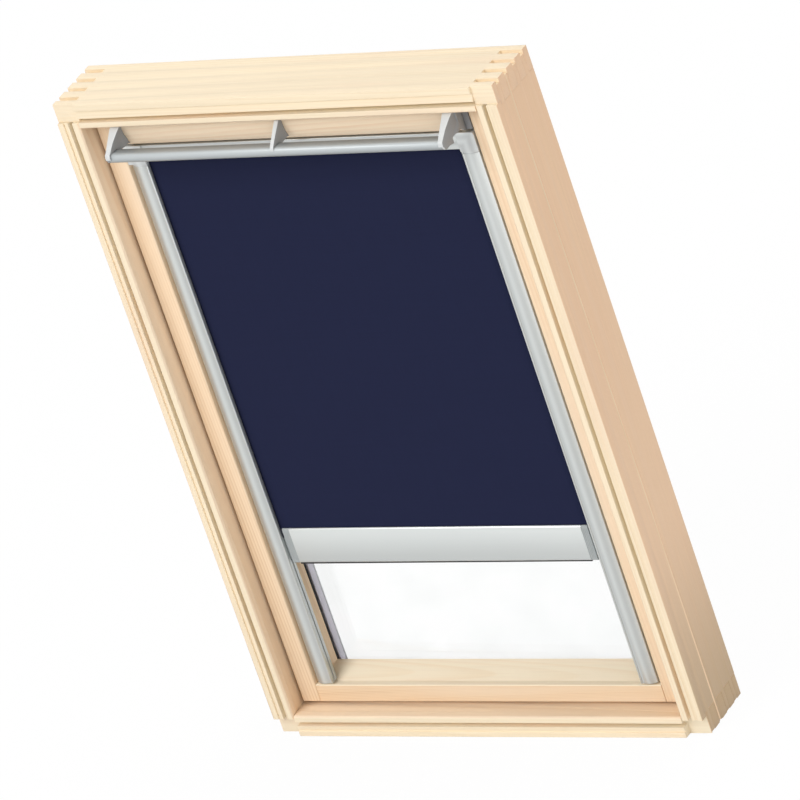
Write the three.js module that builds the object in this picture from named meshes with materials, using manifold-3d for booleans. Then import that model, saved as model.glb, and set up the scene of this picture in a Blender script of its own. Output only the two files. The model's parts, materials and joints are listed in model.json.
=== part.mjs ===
// Centre-pivot roof window with a blackout roller blind on its sash.
// Millimetres, +Z up the window, +Y out of doors, -Y into the room, X across.
// Origin: centre of the sill's underside, half way through the depth of the frame.
// Inside the model, y is the depth behind the room-side face and z the height above the underside.

import * as THREE from 'three';
import { mergeVertices } from 'three/addons/utils/BufferGeometryUtils.js';
import Module from 'manifold-3d';

const wasm = await Module();
wasm.setup();

// Frame

const frameWidth = 660;
const frameHeight = 980;
const frameDepth = 104;
const memberWidth = 32;
const outerLipWidth = 8;
const headOuterLipWidth = 9.3;
const headLipReach = 3.5;
const bandWidth = 7.8;
const bandDepth = 2.6;
const headBandWidth = 11;
const headBandDepth = 3.7;
const liningSlotWidth = 6.3;
const liningSlotDepth = 11;
const lipChamfer = 2;
const cornerBlockDepth = 11.5;
const headBlockDepth = 4;
const lipOverrun = 5;
const combFirstDepth = 18;
const combPitch = 23.5;
const combSlotWidth = 8.5;
const combSlots = 4;
const headFingerSink = 6;
const footFingerSink = 1.5;
const sideGrooveDepthPlace = 38;
const sideGrooveWidth = 4.5;
const sideGrooveCut = 2;

// Clearances

const seatGap = 0.3;
const slideGap = 0.4;
const cutOverrun = 5;

// Sash

const sashSideGap = 5;
const sashEndGap = 6;
const sashFaceDepth = 28;
const sashThickness = 64;
const stileWidth = 27;
const bottomRailWidth = 26;
const topRailWidth = 38;
const sashEdgeRound = 2;
const revealDepth = 10;
const bevelDepth = 24;
const stileBevelRun = 24;
const bottomBevelRun = 19;
const topBevelRun = 10;
const rebateWidth = 16;
const footRebateWidth = 30;

// Glazing

const paneThickness = 4;
const paneSpacing = 16;
const paneEdgeGap = 2;
const beddingThickness = 2;
const beddingReach = 0.5;
const beddingWidth = 13;
const spacerReach = 2.5;
const spacerWidth = 11;
const outerSealWidth = 10;

// Outer covers

const coverThickness = 1.5;
const coverLegLength = 10;
const coverReach = 1;

// Seal round the sash's edge

const sealDepthPlace = 45.5;
const sealThickness = 3.6;
const sealProud = 4.2;
const sealGrooveCut = 2.8;

// Pivots

const pivotDepth = 64;
const pivotPlateHeight = 90;
const pivotPlateWidth = 30;
const pivotPlateThickness = 2.7;
const bossRadius = 11;
const bossReach = 7;
const washerRadius = 15;

// Lock

const strikerLength = 50;
const strikerWidth = 14;
const strikerThickness = 1.5;
const finThickness = 2.5;
const finWidth = 10;
const finLength = 11;
const finEyeRadius = 2.5;
const lockSlotWidth = 6;
const lockSlotCut = 9;
const lockCaseLength = 64;
const lockCaseHeight = 27;
const lockCaseDepth = 22;
const lockFilterGap = 5;

// Ventilation flap, its filter and pins

const flapProud = 14;
const flapSetIn = 9.4;
const flapEdgeGap = 0.4;
const flapBackGap = 0.6;
const flapFlatHeight = 9.6;
const flapRound = 5.4;
const flapPinRadius = 1.6;
const flapPinLength = 36;
const flapPinSeat = 8;
const filterHeight = 16;
const filterThickness = 8;
const filterEndInset = 18.7;
const filterTopInset = 6;

// Control bar and its brackets

const barDepth = 17.5;
const barHeight = 13;
const barNoseShare = 0.46;
const barBackShare = 0.2;
const barWall = 1.6;
const barMouth = 5;
const barFrontReach = 50.5;
const barTopInset = 25.4;
const barRightInset = 7;
const endPlateGap = 9;
const endPlateThickness = 3;
const endBracketWidth = 14;
const endBracketNoseShare = 0.5;
const middleBracketWidth = 6.4;
const middleBracketNoseShare = 0.8;
const bracketHook = 1.8;
const bracketShoulder = 7;
const bracketArch = 9;
const bracketSweepShare = 0.52;
const bracketSweepDropShare = 0.56;

// Blind: channels, casing and end caps

const channelGap = 4.5;
const channelWidth = 24.5;
const channelCrest = 0.8;
const channelShoulder = 3;
const channelThickness = 13;
const channelFootGap = 2.5;
const trackDepthPlace = 6.7;
const trackWidth = 2.4;
const trackCut = 11;
const channelBeadWidth = 3.2;
const casingHeight = 24.5;
const casingDepth = 29;
const casingWall = 1.2;
const casingRound = 5;
const casingTopGap = 3;
const casingMouth = 4;
const capWall = 15;
const capGap = 2;
const capFaceThickness = 0.9;
const capDrop = 6;
const capRound = 4;
const clipHeight = 24;
const clipWidth = 10;
const clipEdgeInset = 1.5;
const clipInset = 54;

// Blind: roller, fabric and lower bar

const rollerRadius = 7;
const rollerWall = 1;
const rollerPinRadius = 2.5;
const rollerPinLength = 4.5;
const rollerPlugLength = 14;
const rollerFlange = 1.5;
const woundThickness = 2.3;
const fabricEdgeReach = 6;
const fabricThickness = 0.8;
const fabricHem = 14;
const blindBarEndGap = 3.5;
const blindBarHeight = 54;
const blindBarDepth = 8.5;
const blindBarPlace = 189.5;
const blindBarSetback = 3;
const blindBarWall = 1.4;
const blindBarRound = 3;
const blindBarMouth = 2.4;
const sliderLength = 10;
const sliderTongue = 13;
const sliderTongueThickness = 1.4;
const sliderTongueInset = 6;
const sliderPlugLength = 18;
const weightHeight = 24;
const weightEndInset = 33.5;
const clampHeight = 14;

// Colours and finishes

const timber = { color: 0xe4c59a, roughness: 0.55, metalness: 0 };
const timberPale = { color: 0xf2dcb6, roughness: 0.55, metalness: 0 };
const anodised = { color: 0xc8cccb, roughness: 0.35, metalness: 0.7 };
const greyPlastic = { color: 0x8a8c8c, roughness: 0.5, metalness: 0 };
const palePlastic = { color: 0xc4c8c8, roughness: 0.45, metalness: 0 };
const darkRubber = { color: 0x1d1e20, roughness: 0.8, metalness: 0 };
const steel = { color: 0xa9adb0, roughness: 0.35, metalness: 0.9 };
const brass = { color: 0xc9a552, roughness: 0.35, metalness: 0.9 };
const coverPaint = { color: 0x55595c, roughness: 0.5, metalness: 0.5 };
const clearGlass = { color: 0xdfeeee, roughness: 0.03, metalness: 0 };
const blackoutCloth = { color: 0x262b44, roughness: 0.95, metalness: 0 };
const foam = { color: 0x6c6f6f, roughness: 1, metalness: 0 };

// Solids from three.js geometries

function solid(geometry) {
  const bare = geometry.index ? geometry.toNonIndexed() : geometry.clone();
  bare.deleteAttribute('normal');
  bare.deleteAttribute('uv');
  const merged = mergeVertices(bare);
  return new wasm.Manifold(new wasm.Mesh({
    numProp: 3,
    vertProperties: new Float32Array(merged.attributes.position.array),
    triVerts: new Uint32Array(merged.index.array),
  }));
}

function geometryOf(body) {
  const mesh = body.getMesh();
  const geometry = new THREE.BufferGeometry();
  geometry.setAttribute('position', new THREE.BufferAttribute(mesh.vertProperties, 3));
  geometry.setIndex(new THREE.BufferAttribute(mesh.triVerts, 1));
  geometry.computeVertexNormals();
  return geometry;
}

function join(bodies) {
  return bodies.reduce((whole, body) => whole.add(body));
}

function cut(body, tools) {
  return tools.reduce((rest, tool) => rest.subtract(tool), body);
}

// An outline is a list of [a, b, round]: a corner, and the size of the rounding at it if it has one.

function outlineShape(corners) {
  const shape = new THREE.Shape();
  corners.forEach(([a, b, round = 0], index) => {
    const corner = new THREE.Vector2(a, b);
    const before = new THREE.Vector2(...corners[(index + corners.length - 1) % corners.length]);
    const after = new THREE.Vector2(...corners[(index + 1) % corners.length]);
    const entry = before.sub(corner).setLength(round).add(corner);
    const leave = after.sub(corner).setLength(round).add(corner);
    if (index === 0) {
      shape.moveTo(entry.x, entry.y);
    } else {
      shape.lineTo(entry.x, entry.y);
    }
    if (round > 0) {
      shape.quadraticCurveTo(corner.x, corner.y, leave.x, leave.y);
    }
  });
  shape.closePath();
  return shape;
}

const roundingSegments = 5;

function extruded(outline, length) {
  const shape = Array.isArray(outline) ? outlineShape(outline) : outline;
  return new THREE.ExtrudeGeometry(shape, {
    depth: length,
    bevelEnabled: false,
    curveSegments: roundingSegments,
  });
}

const axesX = new THREE.Matrix4().set(0, 0, 1, 0, 1, 0, 0, 0, 0, 1, 0, 0, 0, 0, 0, 1);
const axesY = new THREE.Matrix4().set(0, 1, 0, 0, 0, 0, 1, 0, 1, 0, 0, 0, 0, 0, 0, 1);

// Outlines of [depth, height], run across the window
function alongX(outline, from, to) {
  return solid(extruded(outline, to - from).applyMatrix4(axesX).translate(from, 0, 0));
}

// Outlines of [height, across], run through the depth
function alongY(outline, from, to) {
  return solid(extruded(outline, to - from).applyMatrix4(axesY).translate(0, from, 0));
}

// Outlines of [across, depth], run up the window
function alongZ(outline, from, to) {
  return solid(extruded(outline, to - from).translate(0, 0, from));
}

function block(x0, x1, y0, y1, z0, z1) {
  const geometry = new THREE.BoxGeometry(x1 - x0, y1 - y0, z1 - z0);
  return solid(geometry.translate((x0 + x1) / 2, (y0 + y1) / 2, (z0 + z1) / 2));
}

// A turned piece about an axis across the window; the profile is [radius, place along x]
const turningSegments = 40;

function turned(profile, depth, height) {
  const points = profile.map(([radius, place]) => new THREE.Vector2(radius, place));
  const geometry = new THREE.LatheGeometry(points, turningSegments);
  geometry.rotateZ(-Math.PI / 2);
  return solid(geometry.translate(0, depth, height));
}

function rod(radius, from, to, depth, height) {
  return turned([[0, from], [radius, from], [radius, to], [0, to]], depth, height);
}

function tube(innerRadius, outerRadius, from, to, depth, height) {
  const section = [[innerRadius, from], [outerRadius, from], [outerRadius, to], [innerRadius, to]];
  return turned([...section, section[0]], depth, height);
}

function mirrored(body) {
  const geometry = geometryOf(body).scale(-1, 1, 1);
  const order = geometry.index.array;
  for (let i = 0; i < order.length; i += 3) {
    [order[i], order[i + 1]] = [order[i + 1], order[i]];
  }
  return solid(geometry);
}

const roofWindow = new THREE.Group();
roofWindow.position.y = -frameDepth / 2;

function place(name, body, finish, group = roofWindow) {
  const mesh = new THREE.Mesh(geometryOf(body), new THREE.MeshStandardMaterial(finish));
  mesh.name = name;
  group.add(mesh);
}

// The body is drawn at the right, and the left one is its mirror image.
function placePair(name, body, finish, group = roofWindow) {
  place(`${name}_right`, body, finish, group);
  place(`${name}_left`, mirrored(body), finish, group);
}

// Places that several pieces share

const halfWidth = frameWidth / 2;
const openingHalf = halfWidth - memberWidth;
const openingTop = frameHeight - memberWidth;
const pivotHeight = frameHeight / 2;
const sashHalf = openingHalf - sashSideGap;
const sashFoot = memberWidth + sashEndGap;
const sashTop = openingTop - sashEndGap;
const sashBack = sashFaceDepth + sashThickness;
const bevelStart = sashFaceDepth + revealDepth;
const rebateDepth = bevelStart + bevelDepth;
const stileInner = sashHalf - stileWidth;
const stileSight = stileInner - stileBevelRun;
const footSight = sashFoot + bottomRailWidth + bottomBevelRun;
const topSight = sashTop - topRailWidth - topBevelRun;
const flapFront = sashFaceDepth - flapProud;
const flapBack = sashFaceDepth + flapSetIn;
const railFront = flapBack + flapBackGap;
const finDepthPlace = railFront + filterThickness + lockFilterGap + lockCaseDepth / 2;

// Timber frame: four grooved members with comb joints at the corners

const combCentres = Array.from({ length: combSlots }, (_, index) => combFirstDepth + index * combPitch);

// A member's room-side face: a lip, a band that starts with a step and slopes up again, a slot, a lip
const sideFace = { outerLip: outerLipWidth, band: bandWidth, step: bandDepth, lipReach: 0 };
const headFace = {
  outerLip: headOuterLipWidth, band: headBandWidth, step: headBandDepth, lipReach: headLipReach,
};

// Section of a member: across from its outer edge, and depth from the room side
function memberSection({ outerLip, band, step, lipReach }, sideGroove) {
  const slotStart = outerLip + band;
  const slotEnd = slotStart + liningSlotWidth;
  const lipEdge = memberWidth + lipReach;
  const lipBack = [[lipEdge, liningSlotDepth], [memberWidth, liningSlotDepth]];
  const section = [
    [0, 0],
    [outerLip, 0],
    [outerLip, step],
    [slotStart, 0],
    [slotStart, liningSlotDepth],
    [slotEnd, liningSlotDepth],
    [slotEnd, 0],
    [lipEdge - lipChamfer, 0],
    [lipEdge, lipChamfer],
    ...(lipReach > 0 ? lipBack : []),
    [memberWidth, frameDepth],
    [0, frameDepth],
  ];
  const grooveEnd = sideGrooveDepthPlace + sideGrooveWidth;
  const groove = [
    [0, grooveEnd],
    [sideGrooveCut, grooveEnd - sideGrooveCut],
    [sideGrooveCut, sideGrooveDepthPlace],
    [0, sideGrooveDepthPlace],
  ];
  return sideGroove ? [...section, ...groove] : section;
}

// Head or sill, with a plain block at each end, set back further where the jamb's lips lie over it
function crossMember(face, blockDepth) {
  const section = memberSection(face, false).map(([inwards, depth]) => [depth, frameHeight - inwards]);
  const above = frameHeight + cutOverrun;
  const below = openingTop - cutOverrun;
  const blockFoot = openingTop + lipOverrun + seatGap;
  const endBlock = block(
    openingHalf - seatGap, halfWidth, blockDepth, cornerBlockDepth + cutOverrun, blockFoot, frameHeight,
  );
  const bar = join([alongX(section.reverse(), -halfWidth, halfWidth), endBlock, mirrored(endBlock)]);
  const cuts = [
    block(openingHalf - seatGap, halfWidth + cutOverrun, -cutOverrun, blockDepth, below, above),
    block(openingHalf - seatGap, halfWidth + cutOverrun, -cutOverrun, cornerBlockDepth, below, blockFoot),
    ...combCentres.map((centre) => block(
      openingHalf, halfWidth + cutOverrun,
      centre - combSlotWidth / 2, centre + combSlotWidth / 2, below, above,
    )),
  ];
  return cut(bar, [...cuts, ...cuts.map(mirrored)]);
}

function sideMember() {
  const section = memberSection(sideFace, true).map(([across, depth]) => [halfWidth - across, depth]);
  const foot = memberWidth + seatGap;
  const head = openingTop - seatGap;
  const upright = alongZ(section, foot, head);
  const lips = cut(alongZ(section, memberWidth - lipOverrun, openingTop + lipOverrun), [
    block(
      openingHalf - cutOverrun, halfWidth + cutOverrun,
      cornerBlockDepth - seatGap, frameDepth + cutOverrun, 0, frameHeight,
    ),
  ]);
  const fingerWidth = combSlotWidth - 2 * seatGap;
  const fingers = combCentres.map((centre) => block(
    openingHalf + seatGap, halfWidth, centre - fingerWidth / 2, centre + fingerWidth / 2,
    footFingerSink, frameHeight - headFingerSink,
  ));
  return cut(join([upright, lips, ...fingers]), [pivotPocket(openingHalf)]);
}

// Long plate with round ends, laid in the pocket beside it
function pivotPlateOutline(clear) {
  const halfPlate = pivotPlateWidth / 2 + clear;
  const straight = (pivotPlateHeight - pivotPlateWidth) / 2;
  const shape = new THREE.Shape();
  shape.absarc(pivotDepth, pivotHeight + straight, halfPlate, 0, Math.PI, false);
  shape.absarc(pivotDepth, pivotHeight - straight, halfPlate, Math.PI, 2 * Math.PI, false);
  return shape;
}

function pivotPocket(face) {
  const pocketDepth = pivotPlateThickness + seatGap;
  return alongX(pivotPlateOutline(seatGap), face - cutOverrun, face + pocketDepth);
}

function strikerRecess() {
  return block(
    -strikerLength / 2 - seatGap, strikerLength / 2 + seatGap,
    finDepthPlace - strikerWidth / 2 - seatGap, finDepthPlace + strikerWidth / 2 + seatGap,
    openingTop - cutOverrun, openingTop + strikerThickness + seatGap,
  );
}

function upsideDown(body) {
  const geometry = geometryOf(body).rotateY(Math.PI).translate(0, 0, frameHeight);
  return solid(geometry);
}

const head = crossMember(headFace, headBlockDepth);
place('frame_head', cut(head, [strikerRecess()]), timber);
place('frame_sill', upsideDown(crossMember(sideFace, cornerBlockDepth)), timber);
placePair('frame_jamb', sideMember(), timber);

// Sash: four timber members with a reveal, a bevel down to the glass and a rebate behind it

function sealGroove() {
  const inner = sashHalf - sealGrooveCut;
  const half = sealThickness / 2 + seatGap;
  const outline = [
    [sashFoot + sealGrooveCut, -inner],
    [sashTop - sealGrooveCut, -inner],
    [sashTop - sealGrooveCut, inner],
    [sashFoot + sealGrooveCut, inner],
  ];
  const core = alongY(outline, sealDepthPlace - half, sealDepthPlace + half);
  const slab = block(
    -sashHalf - cutOverrun, sashHalf + cutOverrun, sealDepthPlace - half, sealDepthPlace + half,
    sashFoot - cutOverrun, sashTop + cutOverrun,
  );
  return slab.subtract(core);
}

function stile() {
  const section = [
    [sashHalf, sashBack],
    [stileSight + rebateWidth, sashBack],
    [stileSight + rebateWidth, rebateDepth],
    [stileSight, rebateDepth],
    [stileInner, bevelStart],
    [stileInner, sashFaceDepth, sashEdgeRound],
    [sashHalf, sashFaceDepth],
  ];
  const bore = bossRadius + 2 * seatGap;
  const boreEnd = sashHalf - bossReach - 2 * seatGap;
  const pinBore = flapPinRadius + seatGap;
  const pinSeat = stileInner + flapPinSeat + seatGap;
  return cut(alongZ(section, sashFoot, sashTop), [
    sealGroove(),
    alongX(pivotPlateOutline(seatGap), sashHalf - pivotPlateThickness - seatGap, sashHalf + cutOverrun),
    rod(bore, boreEnd, sashHalf, pivotDepth, pivotHeight),
    rod(pinBore, stileInner - cutOverrun, pinSeat, flapPivotDepth, flapPivotHeight),
  ]);
}

// Space that a stile takes from what meets it, with a gap round it
function stileShoulder(gap) {
  const outline = [
    [sashHalf + cutOverrun, sashBack + cutOverrun],
    [stileSight + rebateWidth - gap, sashBack + cutOverrun],
    [stileSight + rebateWidth - gap, rebateDepth + gap],
    [stileSight - gap, rebateDepth + gap],
    [stileInner - gap, bevelStart],
    [stileInner - gap, sashFaceDepth - cutOverrun],
    [sashHalf + cutOverrun, sashFaceDepth - cutOverrun],
  ];
  return alongZ(outline, sashFoot - cutOverrun, sashTop + cutOverrun);
}

function rail(outline, cuts) {
  const shoulder = stileShoulder(seatGap);
  const bar = alongX(outline, -sashHalf, sashHalf);
  return cut(bar, [shoulder, mirrored(shoulder), sealGroove(), ...cuts]);
}

const flapHalf = stileInner - endPlateGap - endPlateThickness - seatGap;
const filterHalf = flapHalf - filterEndInset;
const flapTop = sashTop - flapEdgeGap;
const flapFoot = sashTop - topRailWidth + flapEdgeGap;
const flapPivotDepth = flapBack - flapRound;
const flapPivotHeight = flapFoot + flapRound;
const filterTop = sashTop - filterTopInset;

const bottomRailOutline = [
  [sashFaceDepth, sashFoot],
  [sashBack, sashFoot],
  [sashBack, footSight - footRebateWidth],
  [rebateDepth, footSight - footRebateWidth],
  [rebateDepth, footSight],
  [bevelStart, sashFoot + bottomRailWidth],
  [sashFaceDepth, sashFoot + bottomRailWidth, sashEdgeRound],
];

const topRailOutline = [
  [railFront, sashTop],
  [railFront, sashTop - topRailWidth],
  [rebateDepth - topBevelRun, sashTop - topRailWidth],
  [rebateDepth, topSight],
  [rebateDepth, topSight + rebateWidth],
  [sashBack, topSight + rebateWidth],
  [sashBack, sashTop],
];

function lockMortise() {
  const halfCase = lockCaseLength / 2 + seatGap;
  const front = finDepthPlace - lockCaseDepth / 2 - seatGap;
  const back = finDepthPlace + lockCaseDepth / 2 + seatGap;
  return block(-halfCase, halfCase, front, back, sashTop - lockCaseHeight - seatGap, sashTop + cutOverrun);
}

// The way that the striker takes through the top of the sash when it opens
function strikerWay(from, to) {
  return block(-lockSlotWidth / 2, lockSlotWidth / 2, from, to, sashTop - lockSlotCut, sashTop + cutOverrun);
}

const filterGroove = block(
  -filterHalf - seatGap, filterHalf + seatGap,
  railFront - cutOverrun, railFront + filterThickness,
  filterTop - filterHeight - seatGap, filterTop + seatGap,
);

placePair('sash_stile', stile(), timberPale);
place('sash_bottom_rail', rail(bottomRailOutline, []), timberPale);
place('sash_top_rail', rail(topRailOutline, [
  lockMortise(), strikerWay(finDepthPlace, sashBack + cutOverrun), filterGroove,
]), timberPale);

// A rectangular ring lying behind the room-side face, drawn from its outer edge inwards
function ring(half, foot, top, width, from, to) {
  const outer = block(-half, half, from, to, foot, top);
  const innerHalf = half - width;
  const inner = block(-innerHalf, innerHalf, from - cutOverrun, to + cutOverrun, foot + width, top - width);
  return outer.subtract(inner);
}

const sealHalf = sealThickness / 2;
place('sash_seal', ring(
  sashHalf + sealProud, sashFoot - sealProud, sashTop + sealProud, sealProud + sealGrooveCut - seatGap,
  sealDepthPlace - sealHalf, sealDepthPlace + sealHalf,
), darkRubber);

// Double glazing, bedded on a black strip and held from outside by four covers

const paneHalf = stileSight + rebateWidth - paneEdgeGap;
const paneFoot = footSight - footRebateWidth + paneEdgeGap;
const paneTop = topSight + rebateWidth - paneEdgeGap;
const innerPaneDepth = rebateDepth + beddingThickness;
const outerPaneDepth = innerPaneDepth + paneThickness + paneSpacing;
const outerPaneBack = outerPaneDepth + paneThickness;

function pane(depth) {
  return block(-paneHalf, paneHalf, depth, depth + paneThickness, paneFoot, paneTop);
}

// A ring whose inner edge stands a reach inside the sight line of the sash, and lower at the foot
function glazingRing(reach, width, from, to) {
  const grow = width - reach;
  const foot = footSight - footRebateWidth + rebateWidth - grow;
  return ring(stileSight + grow, foot, topSight + grow, width, from, to);
}

place('glass_inner', pane(innerPaneDepth), { ...clearGlass, transparent: true, opacity: 0.35 });
place('glass_outer', pane(outerPaneDepth), { ...clearGlass, transparent: true, opacity: 0.35 });
place('glass_spacer', glazingRing(
  spacerReach, spacerWidth, innerPaneDepth + paneThickness + seatGap, outerPaneDepth - seatGap,
), steel);
place('glazing_bedding', glazingRing(
  beddingReach, beddingWidth, rebateDepth + seatGap, innerPaneDepth - seatGap,
), darkRubber);
place('glazing_outer_seal', glazingRing(0, outerSealWidth, outerPaneBack + seatGap, sashBack), darkRubber);

const coverDepth = sashBack + seatGap;
const coverBack = coverDepth + coverThickness;
const coverLegFront = coverBack - coverLegLength;
const coverInner = stileSight - coverReach;

// Flat cover with a leg turned in over the sash's edge: outline of [outwards, depth]
function coverOutline(inner, edge) {
  return [
    [inner, coverDepth],
    [edge + seatGap, coverDepth],
    [edge + seatGap, coverLegFront],
    [edge + seatGap + coverThickness, coverLegFront],
    [edge + seatGap + coverThickness, coverBack, coverThickness / 2],
    [inner, coverBack],
  ];
}

const endCoverHalf = coverInner - seatGap;
const topOutline = coverOutline(topSight - coverReach, sashTop);
const topCover = alongX(
  topOutline.map(([height, depth, round]) => [depth, height, round]).reverse(), -endCoverHalf, endCoverHalf,
);
const bottomOutline = coverOutline(-footSight - coverReach, -sashFoot);
const bottomCover = alongX(
  bottomOutline.map(([height, depth, round]) => [depth, -height, round]), -endCoverHalf, endCoverHalf,
);
placePair('cover_side', alongZ(coverOutline(coverInner, sashHalf), sashFoot, sashTop), coverPaint);
place('cover_top', cut(topCover, [
  strikerWay(coverLegFront - cutOverrun, coverBack + cutOverrun),
]), coverPaint);
place('cover_bottom', bottomCover, coverPaint);

// Friction pivots: a plate with a boss in each jamb, and a plate with a hole in each stile

const framePlate = alongX(pivotPlateOutline(0), openingHalf, openingHalf + pivotPlateThickness);
const boss = rod(
  bossRadius, sashHalf - bossReach, openingHalf + pivotPlateThickness, pivotDepth, pivotHeight,
);
placePair('pivot_frame_plate', framePlate.add(boss), steel);

const boreRadius = bossRadius + seatGap;
const sashPlate = alongX(pivotPlateOutline(0), sashHalf - pivotPlateThickness, sashHalf);
placePair('pivot_sash_plate', cut(sashPlate, [
  rod(boreRadius, sashHalf - pivotPlateThickness - cutOverrun, openingHalf, pivotDepth, pivotHeight),
]), steel);
placePair('pivot_washer', tube(
  boreRadius, washerRadius, sashHalf + seatGap, openingHalf - seatGap, pivotDepth, pivotHeight,
), brass);

// Lock: a striker let into the head, with its fin in a case in the top rail

function striker() {
  const plate = block(
    -strikerLength / 2, strikerLength / 2,
    finDepthPlace - strikerWidth / 2, finDepthPlace + strikerWidth / 2,
    openingTop, openingTop + strikerThickness,
  );
  const finOutline = [
    [finDepthPlace - finWidth / 2, openingTop + strikerThickness],
    [finDepthPlace - finWidth / 2, openingTop - finLength, finEyeRadius],
    [finDepthPlace + finWidth / 2, openingTop - finLength, finEyeRadius],
    [finDepthPlace + finWidth / 2, openingTop + strikerThickness],
  ];
  const fin = alongX(finOutline, -finThickness / 2, finThickness / 2);
  const eye = rod(finEyeRadius, -finThickness, finThickness, finDepthPlace, openingTop - finLength / 2);
  return cut(plate.add(fin), [eye]);
}

function lockCase() {
  const front = finDepthPlace - lockCaseDepth / 2;
  const back = finDepthPlace + lockCaseDepth / 2;
  const way = strikerWay(finDepthPlace - finWidth / 2 - 2 * seatGap, back + cutOverrun);
  return block(
    -lockCaseLength / 2, lockCaseLength / 2, front, back, sashTop - lockCaseHeight, sashTop,
  ).subtract(way);
}

place('lock_striker', striker(), steel);
place('lock_case', lockCase(), steel);
place('air_filter', block(
  -filterHalf, filterHalf, railFront, railFront + filterThickness - seatGap,
  filterTop - filterHeight, filterTop,
), foam);

// Ventilation flap: proud of the sash, with a front that curves back to the edge over its pins

const controls = new THREE.Group();
roofWindow.add(controls);

const flapPinInner = stileInner + flapPinSeat - flapPinLength;

function flapOutline(grow) {
  const front = flapFront - grow;
  const back = flapBack + grow;
  const top = flapTop + grow;
  const foot = flapFoot - grow;
  const outline = new THREE.Shape();
  outline.moveTo(back, flapPivotHeight);
  outline.lineTo(back, top);
  outline.lineTo(front + sashEdgeRound, top);
  outline.quadraticCurveTo(front, top, front, top - sashEdgeRound);
  outline.lineTo(front, flapTop - flapFlatHeight);
  outline.quadraticCurveTo(front, foot, flapPivotDepth, foot);
  outline.absarc(flapPivotDepth, flapPivotHeight, flapRound + grow, -Math.PI / 2, 0, false);
  return outline;
}

const flapPinBore = rod(
  flapPinRadius + seatGap, flapPinInner - seatGap, stileInner, flapPivotDepth, flapPivotHeight,
);
place('vent_flap', cut(
  alongX(flapOutline(0), -flapHalf, flapHalf), [flapPinBore, mirrored(flapPinBore)],
), timberPale, controls);
placePair('flap_pin', rod(
  flapPinRadius, flapPinInner, stileInner + flapPinSeat, flapPivotDepth, flapPivotHeight,
), steel);

// Control bar: a rounded section open at the lower back, between the end plates of its brackets

const barLeft = -flapHalf;
const barRight = flapHalf - barRightInset;
const barFront = sashFaceDepth - barFrontReach;
const barTop = sashTop - barTopInset;
const barFoot = barTop - barHeight;
const bracketOuter = flapHalf + seatGap + endPlateThickness;

function barOutline(grow) {
  const front = barFront - grow;
  const back = barFront + barDepth + grow;
  const top = barTop + grow;
  const bottom = barFoot - grow;
  const noseRound = (top - bottom) * barNoseShare;
  const backRound = (top - bottom) * barBackShare;
  return [
    [front, bottom, noseRound],
    [back, bottom, backRound],
    [back, top, backRound],
    [front, top, noseRound],
  ];
}

function controlBar() {
  const shell = alongX(barOutline(0), barLeft, barRight);
  const hollow = alongX(barOutline(-barWall), barLeft - cutOverrun, barRight + cutOverrun);
  const mouthFoot = barFoot + barWall;
  const mouth = block(
    barLeft - cutOverrun, barRight + cutOverrun, barFront + barDepth / 2, barFront + barDepth + cutOverrun,
    mouthFoot, mouthFoot + barMouth,
  );
  return cut(shell, [hollow, mouth]);
}

// Arm from the flap's front to the bar: straight on its left side, tapering on its right side
function bracketArm(left, width, noseShare, hook) {
  const top = flapFront - bracketShoulder;
  const nose = barFront - hook;
  const back = barFront + barDepth + bracketHook;
  const archTop = flapFoot + bracketArch;
  const crown = barTop + bracketHook;
  const outline = new THREE.Shape();
  outline.moveTo(flapPivotDepth, flapTop);
  outline.lineTo(top, flapTop);
  outline.quadraticCurveTo(
    top + (nose - top) * bracketSweepShare, flapTop + (crown - flapTop) * bracketSweepDropShare,
    barFront + bracketHook, crown,
  );
  outline.quadraticCurveTo(nose, barTop, nose, barTop - barHeight / 4);
  outline.lineTo(nose, barTop - barHeight / 2);
  outline.lineTo(barFront + barDepth / 2, barFoot + bracketHook);
  outline.lineTo(back, barFoot);
  outline.lineTo(back, barTop - barHeight / 2);
  outline.quadraticCurveTo(back, archTop, flapFront - hook, archTop);
  outline.quadraticCurveTo(flapFront + bracketHook, archTop, flapPivotDepth, flapFoot);
  outline.closePath();
  const plate = extruded(outline, width).applyMatrix4(axesX);
  const places = plate.attributes.position;
  for (let i = 0; i < places.count; i += 1) {
    const share = Math.min(Math.max((top - places.getY(i)) / (top - nose), 0), 1);
    places.setX(i, places.getX(i) * (noseShare + (1 - noseShare) * (1 - share) ** 2));
  }
  return solid(plate.translate(left, 0, 0));
}

function bracket(arm, plates) {
  return cut(join([arm, ...plates]), [
    alongX(barOutline(seatGap), barLeft - seatGap, barRight + seatGap),
    alongX(flapOutline(seatGap), -flapHalf - seatGap, flapHalf + seatGap),
    flapPinBore,
    mirrored(flapPinBore),
  ]);
}

const flapPlate = alongX(flapOutline(0), flapHalf + seatGap, bracketOuter);
const barPlateLeft = alongX(barOutline(0), -bracketOuter, barLeft - seatGap);
const barPlateRight = alongX(barOutline(0), barRight + seatGap, bracketOuter - barRightInset);
const rightArm = bracketArm(
  bracketOuter - endBracketWidth, endBracketWidth, endBracketNoseShare, bracketHook,
);
const leftArm = bracketArm(-bracketOuter, endBracketWidth, endBracketNoseShare, bracketHook);
const middleArm = bracketArm(
  (barLeft + barRight - middleBracketWidth) / 2, middleBracketWidth, middleBracketNoseShare, 0,
);
place('bracket_left', bracket(leftArm, [mirrored(flapPlate), barPlateLeft]), greyPlastic, controls);
place('bracket_middle', bracket(middleArm, []), greyPlastic, controls);
place('bracket_right', bracket(rightArm, [flapPlate, barPlateRight]), greyPlastic, controls);
place('control_bar', controlBar(), anodised, controls);

// Side channels of the blind, clipped to the bevels of the stiles

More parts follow.
